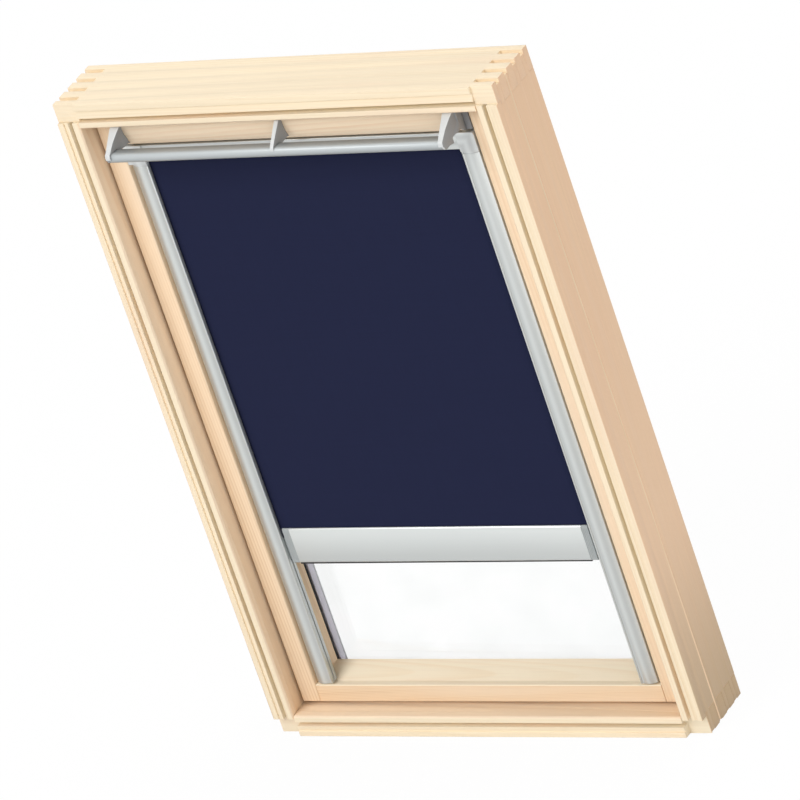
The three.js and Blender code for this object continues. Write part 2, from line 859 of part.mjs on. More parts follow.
const channelOuter = stileInner - channelGap;
const channelInner = channelOuter - channelWidth;
const channelFoot = sashFoot + bottomRailWidth + channelFootGap;
const casingTop = sashTop - topRailWidth - casingTopGap;
const casingFoot = casingTop - casingHeight;
const capFoot = casingFoot - capDrop;
const channelTop = capFoot - seatGap;
const trackFront = sashFaceDepth + trackDepthPlace - trackWidth / 2;
const trackBack = trackFront + trackWidth;

function channelShape() {
  const back = sashFaceDepth + channelThickness;
  const crest = sashFaceDepth - channelCrest;
  const shoulder = sashFaceDepth + channelShoulder;
  const beadOuter = channelInner + channelBeadWidth;
  const valley = sashFaceDepth + channelCrest / 2;
  const edgeRound = channelBeadWidth / 2;
  const shape = new THREE.Shape();
  shape.moveTo(channelOuter, back);
  shape.lineTo(channelInner, back);
  shape.lineTo(channelInner, trackBack);
  shape.lineTo(channelInner + trackCut, trackBack);
  shape.lineTo(channelInner + trackCut, trackFront);
  shape.lineTo(channelInner, trackFront);
  shape.lineTo(channelInner, sashFaceDepth + edgeRound);
  shape.quadraticCurveTo(channelInner, crest, beadOuter - edgeRound, crest);
  shape.quadraticCurveTo(beadOuter, crest, beadOuter, valley);
  shape.quadraticCurveTo(channelOuter - channelWidth / 3, crest - channelShoulder, channelOuter, shoulder);
  shape.closePath();
  return shape;
}

placePair('blind_channel', alongZ(channelShape(), channelFoot, channelTop), anodised);

// Wedge that fills the space between the back of a channel and the bevel behind it
function clip(height) {
  const front = sashFaceDepth + channelThickness + seatGap;
  const outer = channelOuter - clipEdgeInset;
  const inner = outer - clipWidth;
  const bevelAt = (across) => bevelStart + (stileInner - across) * bevelDepth / stileBevelRun - slideGap;
  return alongZ([
    [inner, front],
    [outer, front],
    [outer, bevelAt(outer)],
    [inner, bevelAt(inner)],
  ], height - clipHeight / 2, height + clipHeight / 2);
}

const clipHeights = {
  lower: channelFoot + clipInset,
  middle: (channelFoot + channelTop) / 2,
  upper: channelTop - clipInset,
};
Object.entries(clipHeights).forEach(([level, height]) => {
  placePair(`channel_clip_${level}`, clip(height), steel);
});

// Casing of the roller, closed by a cap at each end that turns down into the channel

const rollerDepth = sashFaceDepth + trackDepthPlace + fabricThickness / 2 + seatGap + rollerRadius
  + seatGap + woundThickness;
const rollerHeight = casingTop - casingHeight / 2;
const capInner = channelOuter - capWall;
const capOuter = stileInner - capGap;
const casingHalf = capInner - seatGap;

function casingOutline(inset) {
  const front = sashFaceDepth + inset;
  const back = sashFaceDepth + casingDepth - inset;
  const round = casingRound - inset;
  return [
    [front, casingFoot + inset, casingWall],
    [back, casingFoot + inset, round],
    [back, casingTop - inset, round],
    [front, casingTop - inset, casingWall],
  ];
}

function casing() {
  const past = casingHalf + cutOverrun;
  const shell = alongX(casingOutline(0), -casingHalf, casingHalf);
  const room = alongX(casingOutline(casingWall), -past, past);
  const mouthDepth = sashFaceDepth + trackDepthPlace;
  const mouth = block(
    -past, past, mouthDepth - casingMouth / 2, mouthDepth + casingMouth / 2,
    casingFoot - cutOverrun, casingFoot + casingHeight / 2,
  );
  return cut(shell, [room, mouth]);
}

function casingCap() {
  const faceBack = sashFaceDepth - seatGap;
  const faceFront = faceBack - capFaceThickness;
  const back = sashFaceDepth + casingDepth;
  const turnDown = alongZ(channelShape(), capFoot, casingFoot - seatGap);
  const wall = alongX([
    [faceFront, capFoot + capDrop / 2],
    [back, capFoot + capDrop / 2],
    [back, casingTop, casingRound],
    [faceFront, casingTop],
  ], capInner, capOuter);
  const face = block(channelInner, capOuter, faceFront, faceBack, capFoot + capDrop / 2, casingTop);
  const trackWay = block(channelInner - cutOverrun, channelInner + trackCut, trackFront, trackBack,
    capFoot - cutOverrun, casingFoot);
  const bounds = alongY([
    [capFoot - cutOverrun, channelInner - cutOverrun],
    [casingTop, channelInner - cutOverrun],
    [casingTop, capOuter, capRound],
    [capFoot - cutOverrun, capOuter],
  ], faceFront - cutOverrun, back + cutOverrun);
  const bearing = rod(
    rollerPinRadius + seatGap, capInner - cutOverrun, capInner + rollerPinLength, rollerDepth, rollerHeight,
  );
  return cut(join([turnDown, wall, face]), [trackWay, bearing, stileShoulder(2 * seatGap)]).intersect(bounds);
}

place('blind_casing', casing(), anodised);
placePair('blind_casing_cap', casingCap(), palePlastic);

// Roller in the casing, with the cloth that is wound on it

const rollerHalf = capInner - seatGap - rollerFlange - seatGap;
const fabricHalf = channelInner + fabricEdgeReach;

function rollerPlug() {
  const bore = rollerRadius - rollerWall - seatGap;
  const flangeFoot = rollerHalf + seatGap;
  const flangeTop = flangeFoot + rollerFlange;
  return turned([
    [0, rollerHalf - rollerPlugLength],
    [bore, rollerHalf - rollerPlugLength],
    [bore, flangeFoot],
    [rollerRadius, flangeFoot],
    [rollerRadius, flangeTop],
    [rollerPinRadius, flangeTop],
    [rollerPinRadius, capInner + rollerPinLength - seatGap],
    [0, capInner + rollerPinLength - seatGap],
  ], rollerDepth, rollerHeight);
}

place('roller_tube', tube(
  rollerRadius - rollerWall, rollerRadius, -rollerHalf, rollerHalf, rollerDepth, rollerHeight,
), steel);
place('roller_wound_cloth', tube(
  rollerRadius + seatGap, rollerRadius + seatGap + woundThickness, -fabricHalf, fabricHalf,
  rollerDepth, rollerHeight,
), blackoutCloth);
placePair('roller_plug', rollerPlug(), greyPlastic);

// Lower bar of the blind: hollow section, weight, cloth clamp and a slider at each end

const blindBar = new THREE.Group();
roofWindow.add(blindBar);

const blindBarFoot = channelFoot + blindBarPlace;
const blindBarTop = blindBarFoot + blindBarHeight;
const blindBarFront = sashFaceDepth + blindBarSetback;
const blindBarBack = blindBarFront + blindBarDepth;
const blindBarEnd = channelInner - blindBarEndGap;
const blindBarHalf = blindBarEnd - sliderLength - seatGap;
const weightHalf = blindBarEnd - weightEndInset;
const fabricDepth = sashFaceDepth + trackDepthPlace;
const fabricFront = fabricDepth - fabricThickness / 2;
const fabricFoot = blindBarTop - blindBarWall - fabricHem;
const fabricTop = rollerHeight - rollerRadius / 2;
const clampTop = blindBarTop - blindBarWall - slideGap;
const clampFoot = clampTop - clampHeight;
const insertFoot = blindBarFoot + blindBarWall + slideGap;

function blindBarOutline(inset, round) {
  return [
    [blindBarFront + inset, blindBarFoot + inset, round],
    [blindBarBack - inset, blindBarFoot + inset, round],
    [blindBarBack - inset, blindBarTop - inset, round],
    [blindBarFront + inset, blindBarTop - inset, round],
  ];
}

function blindBarProfile() {
  const past = blindBarHalf + cutOverrun;
  const shell = alongX(blindBarOutline(0, blindBarRound), -blindBarHalf, blindBarHalf);
  const room = alongX(blindBarOutline(blindBarWall, blindBarRound - blindBarWall), -past, past);
  const mouth = block(
    -past, past, fabricDepth - blindBarMouth / 2, fabricDepth + blindBarMouth / 2,
    blindBarTop - 2 * blindBarWall, blindBarTop + cutOverrun,
  );
  return cut(shell, [room, mouth]);
}

// A bar that fits inside the profile, between two heights
function insert(foot, top, from, to) {
  const fit = blindBarWall + slideGap;
  const round = blindBarRound - blindBarWall;
  return alongX([
    [blindBarFront + fit, foot, round],
    [blindBarBack - fit, foot, round],
    [blindBarBack - fit, top, round],
    [blindBarFront + fit, top, round],
  ], from, to);
}

function slider() {
  const inner = blindBarHalf + seatGap;
  const outer = blindBarEnd;
  const head = alongX(blindBarOutline(0, blindBarRound), inner, outer);
  const mouth = block(
    inner - cutOverrun, outer + cutOverrun, fabricDepth - blindBarMouth / 2, fabricDepth + blindBarMouth / 2,
    clampFoot, blindBarTop + cutOverrun,
  );
  const plug = insert(insertFoot, clampFoot - slideGap, inner - sliderPlugLength, inner + sliderLength / 2);
  const tongueHalf = sliderTongueThickness / 2;
  const tongue = block(
    outer - sliderLength / 2, outer + sliderTongue, fabricDepth - tongueHalf, fabricDepth + tongueHalf,
    blindBarFoot + sliderTongueInset, clampFoot - slideGap,
  );
  return join([cut(head, [mouth]), plug, tongue]);
}

function clothClamp() {
  const bar = insert(clampFoot, clampTop, -blindBarHalf, blindBarHalf);
  const slot = block(
    -blindBarHalf - cutOverrun, blindBarHalf + cutOverrun,
    fabricFront - seatGap, fabricFront + fabricThickness + seatGap,
    fabricFoot - seatGap, clampTop + cutOverrun,
  );
  return bar.subtract(slot);
}

place('blind_bar_profile', blindBarProfile(), anodised, blindBar);
place('blind_bar_clamp', clothClamp(), greyPlastic, blindBar);
place('blind_bar_weight', insert(
  insertFoot, insertFoot + weightHeight, -weightHalf, weightHalf,
), steel, blindBar);
placePair('blind_bar_slider', slider(), greyPlastic, blindBar);
place('blind_fabric', block(
  -fabricHalf, fabricHalf, fabricFront, fabricFront + fabricThickness, fabricFoot, fabricTop,
), blackoutCloth, blindBar);

export default roofWindow;
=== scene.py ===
"""Looks of a centre-pivot roof window with a blackout blind, built round its packed CAD model."""

import functools
import json
import math

import bmesh
import bpy
from bpy.types import Operator, PropertyGroup
from mathutils import Color, Matrix, Vector


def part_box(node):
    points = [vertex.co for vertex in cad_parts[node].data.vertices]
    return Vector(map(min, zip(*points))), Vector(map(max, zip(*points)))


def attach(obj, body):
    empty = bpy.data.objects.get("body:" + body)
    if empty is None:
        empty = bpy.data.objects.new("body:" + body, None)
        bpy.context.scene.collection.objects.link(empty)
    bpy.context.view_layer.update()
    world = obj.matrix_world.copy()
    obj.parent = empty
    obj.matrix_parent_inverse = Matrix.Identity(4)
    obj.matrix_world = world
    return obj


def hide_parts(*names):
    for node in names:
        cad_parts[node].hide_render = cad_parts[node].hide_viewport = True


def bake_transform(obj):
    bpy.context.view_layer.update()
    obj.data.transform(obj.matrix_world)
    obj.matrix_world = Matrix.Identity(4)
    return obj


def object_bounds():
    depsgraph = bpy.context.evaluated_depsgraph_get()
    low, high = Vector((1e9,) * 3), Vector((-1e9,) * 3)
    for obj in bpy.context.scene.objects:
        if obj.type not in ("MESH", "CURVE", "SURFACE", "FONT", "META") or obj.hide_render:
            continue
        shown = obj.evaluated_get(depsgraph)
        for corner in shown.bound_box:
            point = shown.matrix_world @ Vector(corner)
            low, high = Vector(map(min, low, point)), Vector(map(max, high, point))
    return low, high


bl_info = {
    "name": "Roof Window with Blackout Blind",
    "version": (1, 0, 0),
    "blender": (4, 5, 0),
    "location": "3D View > Sidebar > Roof Window",
    "description": "Dresses a timber roof window and its blackout roller blind",
    "category": "Object",
}

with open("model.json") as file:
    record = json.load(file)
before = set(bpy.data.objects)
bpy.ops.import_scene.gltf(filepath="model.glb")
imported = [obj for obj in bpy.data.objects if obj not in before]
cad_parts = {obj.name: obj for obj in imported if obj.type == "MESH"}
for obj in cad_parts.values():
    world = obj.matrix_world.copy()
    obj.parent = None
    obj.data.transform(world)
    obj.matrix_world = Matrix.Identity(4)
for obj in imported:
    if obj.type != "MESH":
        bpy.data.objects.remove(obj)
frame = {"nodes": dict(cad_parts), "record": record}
CAD_BOX = [list(corner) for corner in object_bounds()]
BODY_OF = {
    node: body for body, nodes in frame["record"]["behaviour"]["bodies"].items() for node in nodes
}
MM = 0.001
EASED = "Eased edges"
SHARP = math.radians(30)
FLAT = math.radians(0.4)


# Sizes and colours that a user can change


def shade(name, about, value):
    """A colour setting, written as it shows on screen."""
    return bpy.props.FloatVectorProperty(
        name=name, description=about, default=value, size=3, min=0, max=1, subtype="COLOR_GAMMA"
    )


def number(name, about, value, **kind):
    """A number setting."""
    return bpy.props.FloatProperty(name=name, description=about, default=value, **kind)


def length(name, about, value):
    """A length setting in metres."""
    return number(name, about, value, min=0, precision=5, subtype="DISTANCE", unit="LENGTH")


def amount(name, about, value):
    """A plain strength setting."""
    return number(name, about, value, min=0, soft_max=1, subtype="FACTOR")


def turn(name, about, degrees):
    """An angle setting."""
    return number(name, about, math.radians(degrees), subtype="ANGLE", unit="ROTATION")


class TimberSettings(PropertyGroup):
    """Pine of the frame, the sash and the flap."""

    frame_pale: shade("Frame pale wood", "Early wood of the frame", (0.995, 0.925, 0.805))
    frame_streak: shade("Frame streaks", "Late wood", (0.945, 0.835, 0.675))
    # Painted shade: the inner and slot woods are pinker, slightly darker copies of the frame pine
    inner_pale: shade("Inner pale wood", "Faces of the frame round the sash", (1.0, 0.905, 0.785))
    inner_streak: shade("Inner streaks", "Late wood", (0.94, 0.80, 0.655))
    slot_pale: shade("Slot pale wood", "Shaded wood inside the lining slots", (0.96, 0.905, 0.80))
    slot_streak: shade("Slot streaks", "Late wood", (0.905, 0.82, 0.69))
    sash_pale: shade("Sash pale wood", "Early wood of the sash", (0.985, 0.878, 0.748))
    sash_streak: shade("Sash streaks", "Late wood", (0.875, 0.715, 0.53))
    # Painted light: the flap's pine is lighter than the sash's, making up for the head's shade over
    # it
    flap_pale: shade("Flap pale wood", "Early wood of the flap", (1.0, 0.915, 0.80))
    flap_streak: shade("Flap streaks", "Late wood", (0.94, 0.79, 0.64))
    # Painted light: the bevel woods are lighter copies of the sash pine for the rail's up-facing
    # bevel
    bevel_pale: shade("Bevel pale wood", "Bevel of the bottom rail", (1.0, 0.935, 0.825))
    bevel_streak: shade("Bevel streaks", "Late wood", (0.97, 0.87, 0.725))
    blush: shade("Blush", "Pinkish patches in the wood", (0.975, 0.88, 0.765))
    # The outer sides and board ends take their own colour; the jambs' sides darken towards the foot
    outer: shade("Outer side", "Unvarnished sides of the jambs", (0.975, 0.806, 0.655))
    outer_foot: shade("Outer side, foot", "The same near the foot", (0.747, 0.622, 0.467))
    ring_spacing: length("Ring spacing", "From one growth ring to the next", 0.0031)
    ease: length("Eased edge", "Width of the softened edges", 0.0008)


class MetalSettings(PropertyGroup):
    """Aluminium, steel and brass."""

    anodised: shade("Anodised aluminium", "Channels, casing and lower bar", (0.795, 0.81, 0.805))
    bar: shade("Control bar", "Darker aluminium of the control bar", (0.655, 0.675, 0.68))
    spacer: shade("Spacer", "Bright strip between the panes", (0.80, 0.785, 0.825))
    # Painted light: the lower bar's aluminium is a lighter copy of the anodised aluminium
    lower_bar: shade("Lower bar", "Bright aluminium of the blind's lower bar", (0.83, 0.845, 0.84))
    bare: shade("Bare aluminium", "Covers' unpainted faces behind the glass", (0.96, 0.965, 0.965))
    pin: shade("Dark steel", "Pins of the flap", (0.25, 0.25, 0.26))
    cover: shade("Outer covers", "Painted covers out of doors", (0.30, 0.315, 0.325))
    steel: shade("Steel", "Plates, clips and screws", (0.72, 0.73, 0.735))
    brass: shade("Brass", "Washers of the pivots", (0.80, 0.66, 0.38))
    ease: length("Eased edge", "Width of the softened edges", 0.00035)


class PlasticSettings(PropertyGroup):
    """Moulded plastic, rubber and foam."""

    # Painted highlight: the brackets are one grey plastic; their narrow faces take a lighter copy
    bracket: shade("Bracket flank", "Sides of the control bar's brackets", (0.61, 0.625, 0.64))
    bracket_strip: shade("Bracket edge", "Narrow faces of the brackets", (0.86, 0.87, 0.87))
    # Painted shade: the hinge blocks are darker than the bracket flanks so their lit fronts show
    # the same grey
    hinge: shade("Hinge plastic", "Hinge blocks of the flap", (0.52, 0.525, 0.535))
    cap: shade("Cap plastic", "End caps of the casing", (0.825, 0.84, 0.84))
    slider: shade("Slider plastic", "Sliders of the lower bar", (0.66, 0.68, 0.68))
    rubber: shade("Rubber", "Seals and glass bedding", (0.155, 0.15, 0.15))
    pale_rubber: shade("Pale rubber", "Outer seal of the glass", (0.86, 0.865, 0.87))
    foam: shade("Foam", "Air filter", (0.42, 0.43, 0.43))
    ease: length("Eased edge", "Width of the softened edges", 0.0006)


class BlindSettings(PropertyGroup):
    """Blackout cloth and its lower bar."""

    cloth: shade("Cloth", "Room side of the blackout cloth", (0.126, 0.143, 0.249))
    lining: shade("Coating", "Outer side of the blackout cloth", (0.78, 0.79, 0.80))
    thread: length("Thread pitch", "From one thread to the next", 0.00055)
    rib_pitch: length("Rib pitch", "From one grip rib to the next", 0.0024)
    rib_width: length("Rib width", "Width of a grip rib", 0.0011)
    rib_height: length("Rib height", "How far a grip rib stands out", 0.0004)


class FixingSettings(PropertyGroup):
    """Screws of the plates, clips and covers."""

    head_radius: length("Head radius", "Radius of a screw head", 0.0036)
    head_height: length("Head height", "How far a screw head stands out", 0.0009)
    recess: length("Drive recess", "Half length of the cross in the head", 0.0020)


class StageSettings(PropertyGroup):
    """Camera, lamps and floor."""

    aim: bpy.props.FloatVectorProperty(
        name="Aim", description="Point that the camera looks at", default=(0.0031, 0.0, 0.4933),
        size=3, subtype="TRANSLATION", unit="LENGTH",
    )
    distance: length("Camera distance", "From the aim to the camera", 10.464)
    azimuth: turn("Azimuth", "Camera's turn round the window, towards its right side", 35.99)
    elevation: turn("Elevation", "Camera's height above the horizon", 26.53)
    roll: turn("Roll", "Tilt of the picture, as in the photograph", 19.18)
    lens: number("Lens", "Focal length in millimetres for a 36 mm sensor", 363.3, min=20,
                 subtype="DISTANCE_CAMERA", unit="CAMERA")
    floor: shade("Floor", "Colour of the floor", (0.93, 0.93, 0.93))
    floor_glow: amount("Floor whiteness", "Share of its brightness that shadows leave", 0.965)
    sky: amount("Sky strength", "Even light from all round", 0.315)
    key: amount("Key strength", "Light from the front, above and left", 0.47)
    front: amount("Front strength", "Low light from straight ahead", 0.16)
    fill: amount("Fill strength", "Light from the right", 0.16)
    rear: amount("Rear strength", "Light from above and behind", 0.345)


SETTINGS = {
    "timber": TimberSettings, "metal": MetalSettings, "plastic": PlasticSettings,
    "blind": BlindSettings, "fixings": FixingSettings, "stage": StageSettings,
}


def settings(name):
    """The current values of one group of settings."""
    return getattr(bpy.context.scene, f"window_{name}")


def tone(value):
    """A shader colour from one written as it shows on screen."""
    return (*Color(value).from_srgb_to_scene_linear(), 1.0)


def tint(key):
    """The shader colour of a metal, plastic or cloth setting."""
    groups = map(settings, ("metal", "plastic", "blind"))
    return tone(next(getattr(group, key) for group in groups if hasattr(group, key)))


# Shader trees


def feed(value, socket):
    """Joins a value to an input socket, or fills the socket with it."""
    value = getattr(value, "socket", value)
    if isinstance(value, bpy.types.NodeSocket):
        socket.id_data.links.new(value, socket)
    else:
        socket.default_value = value


def add(tree, kind, inputs=None, **choices):
    """Adds a node, a shader's if its kind is a short name, with its choices and its inputs."""
    made = tree.nodes.new(kind if "Node" in kind else f"ShaderNode{kind}")
    for key, value in choices.items():
        setattr(made, key, value)
    for key, value in (inputs or {}).items():
        feed(value, made.inputs[key])
    return made


class Term:
    """A number in a node tree, joined to others by plain arithmetic."""

    def __init__(self, socket):
        self.socket = socket

    def by(self, operation, *others):
        """The result of one Math node."""
        values = dict(enumerate((self, *others)))
        return Term(add(self.socket.id_data, "Math", values, operation=operation).outputs[0])

    __add__ = functools.partialmethod(by, "ADD")
    __sub__ = functools.partialmethod(by, "SUBTRACT")
    __mul__ = functools.partialmethod(by, "MULTIPLY")
    __truediv__ = functools.partialmethod(by, "DIVIDE")
    scaled = functools.partialmethod(by, "MULTIPLY_ADD")    # times a factor, plus another number


def combine(tree, x=0.0, y=0.0, z=0.0):
    """A vector from three numbers."""
    return add(tree, "CombineXYZ", {0: x, 1: y, 2: z}).outputs[0]


def vectors(operation, *values):
    """The outputs of a Vector Math node."""
    tree = values[0].id_data
    return add(tree, "VectorMath", dict(enumerate(values)), operation=operation).outputs


def dot(first, second):
    """The dot product of two vectors."""
    return Term(vectors("DOT_PRODUCT", first, second)["Value"])


def noise(where, scale, seed, detail=2.0, roughness=0.5):
    """Smooth noise from 0 to 1 on a vector stretched axis by axis."""
    made = add(where.id_data, "TexNoise", {
        "Vector": vectors("MULTIPLY", where, scale)[0], "W": seed, "Scale": 1.0, "Detail": detail,
        "Roughness": roughness,
    }, noise_dimensions="4D")
    return Term(made.outputs[0])


def span(value, low, high, start=0.0, end=1.0):
    """A value's smooth way from low to high, written as start to end."""
    values = dict(enumerate((value, low, high, start, end)))
    made = add(value.socket.id_data, "MapRange", values, interpolation_type="SMOOTHSTEP")
    return Term(made.outputs[0])


def blended(share, first, second, kind="MIX"):
    """Two colours mixed by a share."""
    made = add(first.id_data, "Mix", {"Factor": share, 6: first, 7: second},
               data_type="RGBA", blend_type=kind)
    return made.outputs[2]


NUMBER, PAINT, ARROW, SHAPE, FINISH = (
    f"NodeSocket{kind}" for kind in ("Float", "Color", "Vector", "Geometry", "Material")
)


def new_group(name, sockets, results, kind):
    """An empty node group; an input is given by its type, or by its default if it is a number."""
    group = bpy.data.node_groups.new(name, kind)
    for label, value in sockets.items():
        name_of_type = {float: NUMBER, int: "NodeSocketInt"}.get(type(value), value)
        socket = group.interface.new_socket(label, in_out="INPUT", socket_type=name_of_type)
        if name_of_type != value:
            socket.default_value = value
    for label, value in results.items():
        group.interface.new_socket(label, in_out="OUTPUT", socket_type=value)
    source = group.nodes.new("NodeGroupInput")
    return group, source.outputs, group.nodes.new("NodeGroupOutput").inputs


def new_look(name, sockets):
    """An empty shader group with its vector and its seed, its other inputs and its results."""
    sockets = {"Coordinates": ARROW, "Seed": 0.0, **sockets}
    results = {"Color": PAINT, "Roughness": NUMBER, "Height": NUMBER}
    group, given, result = new_group(name, sockets, results, "ShaderNodeTree")
    return group, given["Coordinates"], given["Seed"], given, result


def show(result, colour, light, roughness, height):
    """Feeds a shader group's results: a colour times a grey, a roughness and a height."""
    grey = combine(light.socket.id_data, light, light, light)
    feed(blended(1.0, colour, grey, "MULTIPLY"), result["Color"])
    feed(roughness, result["Roughness"])
    feed(height, result["Height"])


def pine_grain_group():
    """Growth rings round an axis beside the board, fibres and blush; the grain runs along X."""
    group, where, seed, given, result = new_look("Pine grain", {
        "Pale": PAINT, "Streak": PAINT, "Blush": PAINT, "Ring Spacing": 0.003,
        "Pith Across": 0.04, "Pith Deep": 0.02, "Slope": 0.02, "Wander": 0.008,
        "Streak Strength": 0.6, "Fibre Strength": 0.5, "Side Direction": ARROW, "Side": PAINT,
        "Side Foot": PAINT,
    })
    along, across, deep = map(Term, add(group, "SeparateXYZ", {0: where}).outputs)
    drift = (noise(where, (2.3, 9.0, 9.0), seed) - 0.5) * given["Wander"]
    across = across - given["Pith Across"] + along * given["Slope"] + drift
    deep = deep - given["Pith Deep"] + drift
    squares = across.by("POWER", 2.0) + deep.by("POWER", 2.0)
    rings = squares.by("SQRT") / given["Ring Spacing"]
    phase = rings.by("FRACT")
    late = span(phase, 0.25, 0.88) * span(phase, 0.90, 1.0, 1.0, 0.0)
    year = add(group, "TexWhiteNoise", {"W": rings.by("FLOOR")}, noise_dimensions="1D")
    late = late * span(Term(year.outputs[0]), 0.0, 1.0, 0.35, 1.0)
    patch = span(noise(where, (1.7, 11.0, 11.0), seed, 1.0), 0.35, 0.65)
    late = late * patch.scaled(0.6, 0.4)
    fibre = (noise(where, (9.0, 620.0, 620.0), seed, 3.0, 0.6) - 0.5) * given["Fibre Strength"]
    wood = blended(late * given["Streak Strength"], given["Pale"], given["Streak"])
    pink = noise(where, (2.6, 22.0, 22.0), Term(seed) + 3.7, 1.0)
    wood = blended(span(pink, 0.48, 0.72, 0.0, 0.75), wood, given["Blush"])
    # The jambs' outer sides go from Side to the darker Side Foot over the lowest 0.32 m
    bare = blended(span(along, 0.0, 0.32), given["Side Foot"], given["Side"])
    outwards = dot(vectors("ABSOLUTE", where)[0], given["Side Direction"])
    outermost = span(outwards, 0.3292, 0.3298, 0.0, 0.8)
    show(result, blended(outermost, wood, bare), fibre.scaled(0.22, 1.0),
         fibre.scaled(0.12, late.scaled(-0.06, 0.52)), late.scaled(0.35, fibre))
    return group


def drawn_metal_group():
    """Fine die lines along X on drawn or rolled metal, with soft cloudiness and wide bands of
    painted light and shade.
    """
    group, where, seed, given, result = new_look("Drawn metal", {
        "Tint": PAINT, "Base Roughness": 0.35, "Line Strength": 0.5,
        "Cloud Strength": 0.3, "Band Direction": ARROW, "Turned Direction": ARROW,
        "Turned Offset": 0.0, "Band Place": 0.0, "Band Pitch": 1.0, "Band Strength": 0.0,
    })
    lines = (noise(where, (3.0, 1400.0, 1400.0), seed, 3.0, 0.65) - 0.5) * given["Line Strength"]
    clouds = (noise(where, (5.0, 24.0, 24.0), seed) - 0.5) * given["Cloud Strength"]
    # Painted light and shade: a cosine band across the profile stands in for light falling on its
    # curves
    across = dot(vectors("ABSOLUTE", where)[0], given["Band Direction"])
    turned = dot(where, given["Turned Direction"]) + given["Turned Offset"]
    across = across.by("MAXIMUM", turned) - given["Band Place"]
    painted_light_band = (across / given["Band Pitch"] * math.tau).by("COSINE") * given["Band Strength"]
    show(result, given["Tint"], lines.scaled(0.12, clouds.scaled(0.14, 1.0)) + painted_light_band,
         lines.scaled(0.12, clouds.scaled(0.16, given["Base Roughness"])), lines)
    return group


def moulded_skin_group():
    """The fine eroded skin of moulded plastic, rubber or paint."""
    group, where, seed, given, result = new_look("Moulded skin", {
        "Tint": PAINT, "Base Roughness": 0.45, "Grain Scale": 900.0,
        "Grain Strength": 0.5,
    })
    scale = combine(group, *[given["Grain Scale"]] * 3)
    grain = (noise(where, scale, seed) - 0.5) * given["Grain Strength"]
    flow = noise(where, (16.0, 16.0, 16.0), seed) - 0.5
    show(result, given["Tint"], grain.scaled(0.10, flow.scaled(0.08, 1.0)),
         grain.scaled(0.15, flow.scaled(0.10, given["Base Roughness"])), grain)
    return group


def woven_cloth_group():
    """Plain weave across X and Z, with slubs in the threads."""
    group, where, seed, given, result = new_look("Woven cloth", {
        "Tint": PAINT, "Thread Pitch": 0.0005, "Weave Strength": 0.6, "Slub Strength": 0.4,
    })
    parts = add(group, "SeparateXYZ", {0: where}).outputs
    warp, weft = (
        (Term(parts[axis]) / given["Thread Pitch"] * math.pi).by("SINE") for axis in (0, 2)
    )
    weave = warp * weft * given["Weave Strength"]
    threads = noise(where, (900.0, 30.0, 12.0), seed) + noise(where, (12.0, 30.0, 900.0), seed)
    slub = (threads - 1.0) * given["Slub Strength"]
    show(result, given["Tint"], slub.scaled(0.35, weave.scaled(0.05, 1.0)),
         slub.scaled(0.1, 0.82), weave + slub)
    return group


def shared_group(name):
    """A node group, made at its first use."""
    makers = {
        "Pine grain": pine_grain_group, "Drawn metal": drawn_metal_group,
        "Moulded skin": moulded_skin_group, "Woven cloth": woven_cloth_group,
        "Screw heads": screw_tree, "Grip ribs": rib_tree,
    }
    return bpy.data.node_groups.get(name) or makers[name]()


def empty_tree(owner, kind="Material"):
    """The emptied node tree of a material or world, and its output's socket."""
    owner.use_nodes = True
    tree = owner.node_tree
    tree.nodes.clear()
    return tree, tree.nodes.new(f"ShaderNodeOutput{kind}").inputs["Surface"]


def surface(name, group_name, along="x", bump=0.2, depth=0.0002, shader=None, **values):
    """A material with one shared group on Object coordinates, whose X is turned along the piece."""
    material = bpy.data.materials.new(name)
    tree, output = empty_tree(material)
    place = add(tree, "TexCoord").outputs["Object"]
    parts = add(tree, "SeparateXYZ", {0: place}).outputs
    order = {"x": (0, 1, 2), "z": (2, 0, 1)}[along]
    pattern = add(tree, "Group", node_tree=shared_group(group_name))
    values["Coordinates"] = combine(tree, *(parts[axis] for axis in order))
    for key, value in values.items():
        feed(value, pattern.inputs[key.replace("_", " ")])
    lift = add(tree, "Bump", {
        "Height": pattern.outputs["Height"], "Strength": bump, "Distance": depth,
    })
    principled = add(tree, "BsdfPrincipled", {
        "Base Color": pattern.outputs["Color"], "Roughness": pattern.outputs["Roughness"],
        "Normal": lift.outputs[0], **(shader or {}),
    })
    feed(principled.outputs[0], output)
    return material


def timber(name, along, seed, part="frame", streaks=0.5, pith=(0.05, 0.03), slope=0.02,
           spacing=None, deep=0.0, foot=False):
    """Pine for one board, cut at its own place in the tree; deep moves its pale wood towards its
    streaks.
    """
    wood = settings("timber")
    pale, streak = (Vector(tone(getattr(wood, f"{part}_{kind}"))) for kind in ("pale", "streak"))
    upright = along == "z"
    end = tone(wood.outer_foot if foot else wood.outer)
    return surface(
        name.replace("_", " "), "Pine grain", along, bump=0.12, depth=0.0003,
        shader={"Specular IOR Level": 0.35, "Coat Weight": 0.12, "Coat Roughness": 0.35},
        Pale=pale.lerp(streak, deep), Streak=streak, Blush=tone(wood.blush),
        Ring_Spacing=spacing or wood.ring_spacing, Pith_Across=pith[0], Pith_Deep=pith[1],
        Slope=slope, Streak_Strength=streaks, Side=end,
        Side_Direction=(0, 1, 0) if upright else (1, 0, 0),
        Side_Foot=tone(wood.outer_foot) if upright else end, Seed=seed,
    )


def metal(name, colour, along="x", roughness=0.35, metallic=0.8, lines=0.5, clouds=0.3,
          bump=0.05, **values):
    """Drawn, rolled or turned metal, with painted light and shade in soft lengthwise bands if their
    values are given.
    """
    return surface(
        name, "Drawn metal", along, bump=bump, depth=0.0001, shader={"Metallic": metallic},
        Tint=tint(colour), Base_Roughness=roughness, Line_Strength=lines, Cloud_Strength=clouds,
        **values,
    )


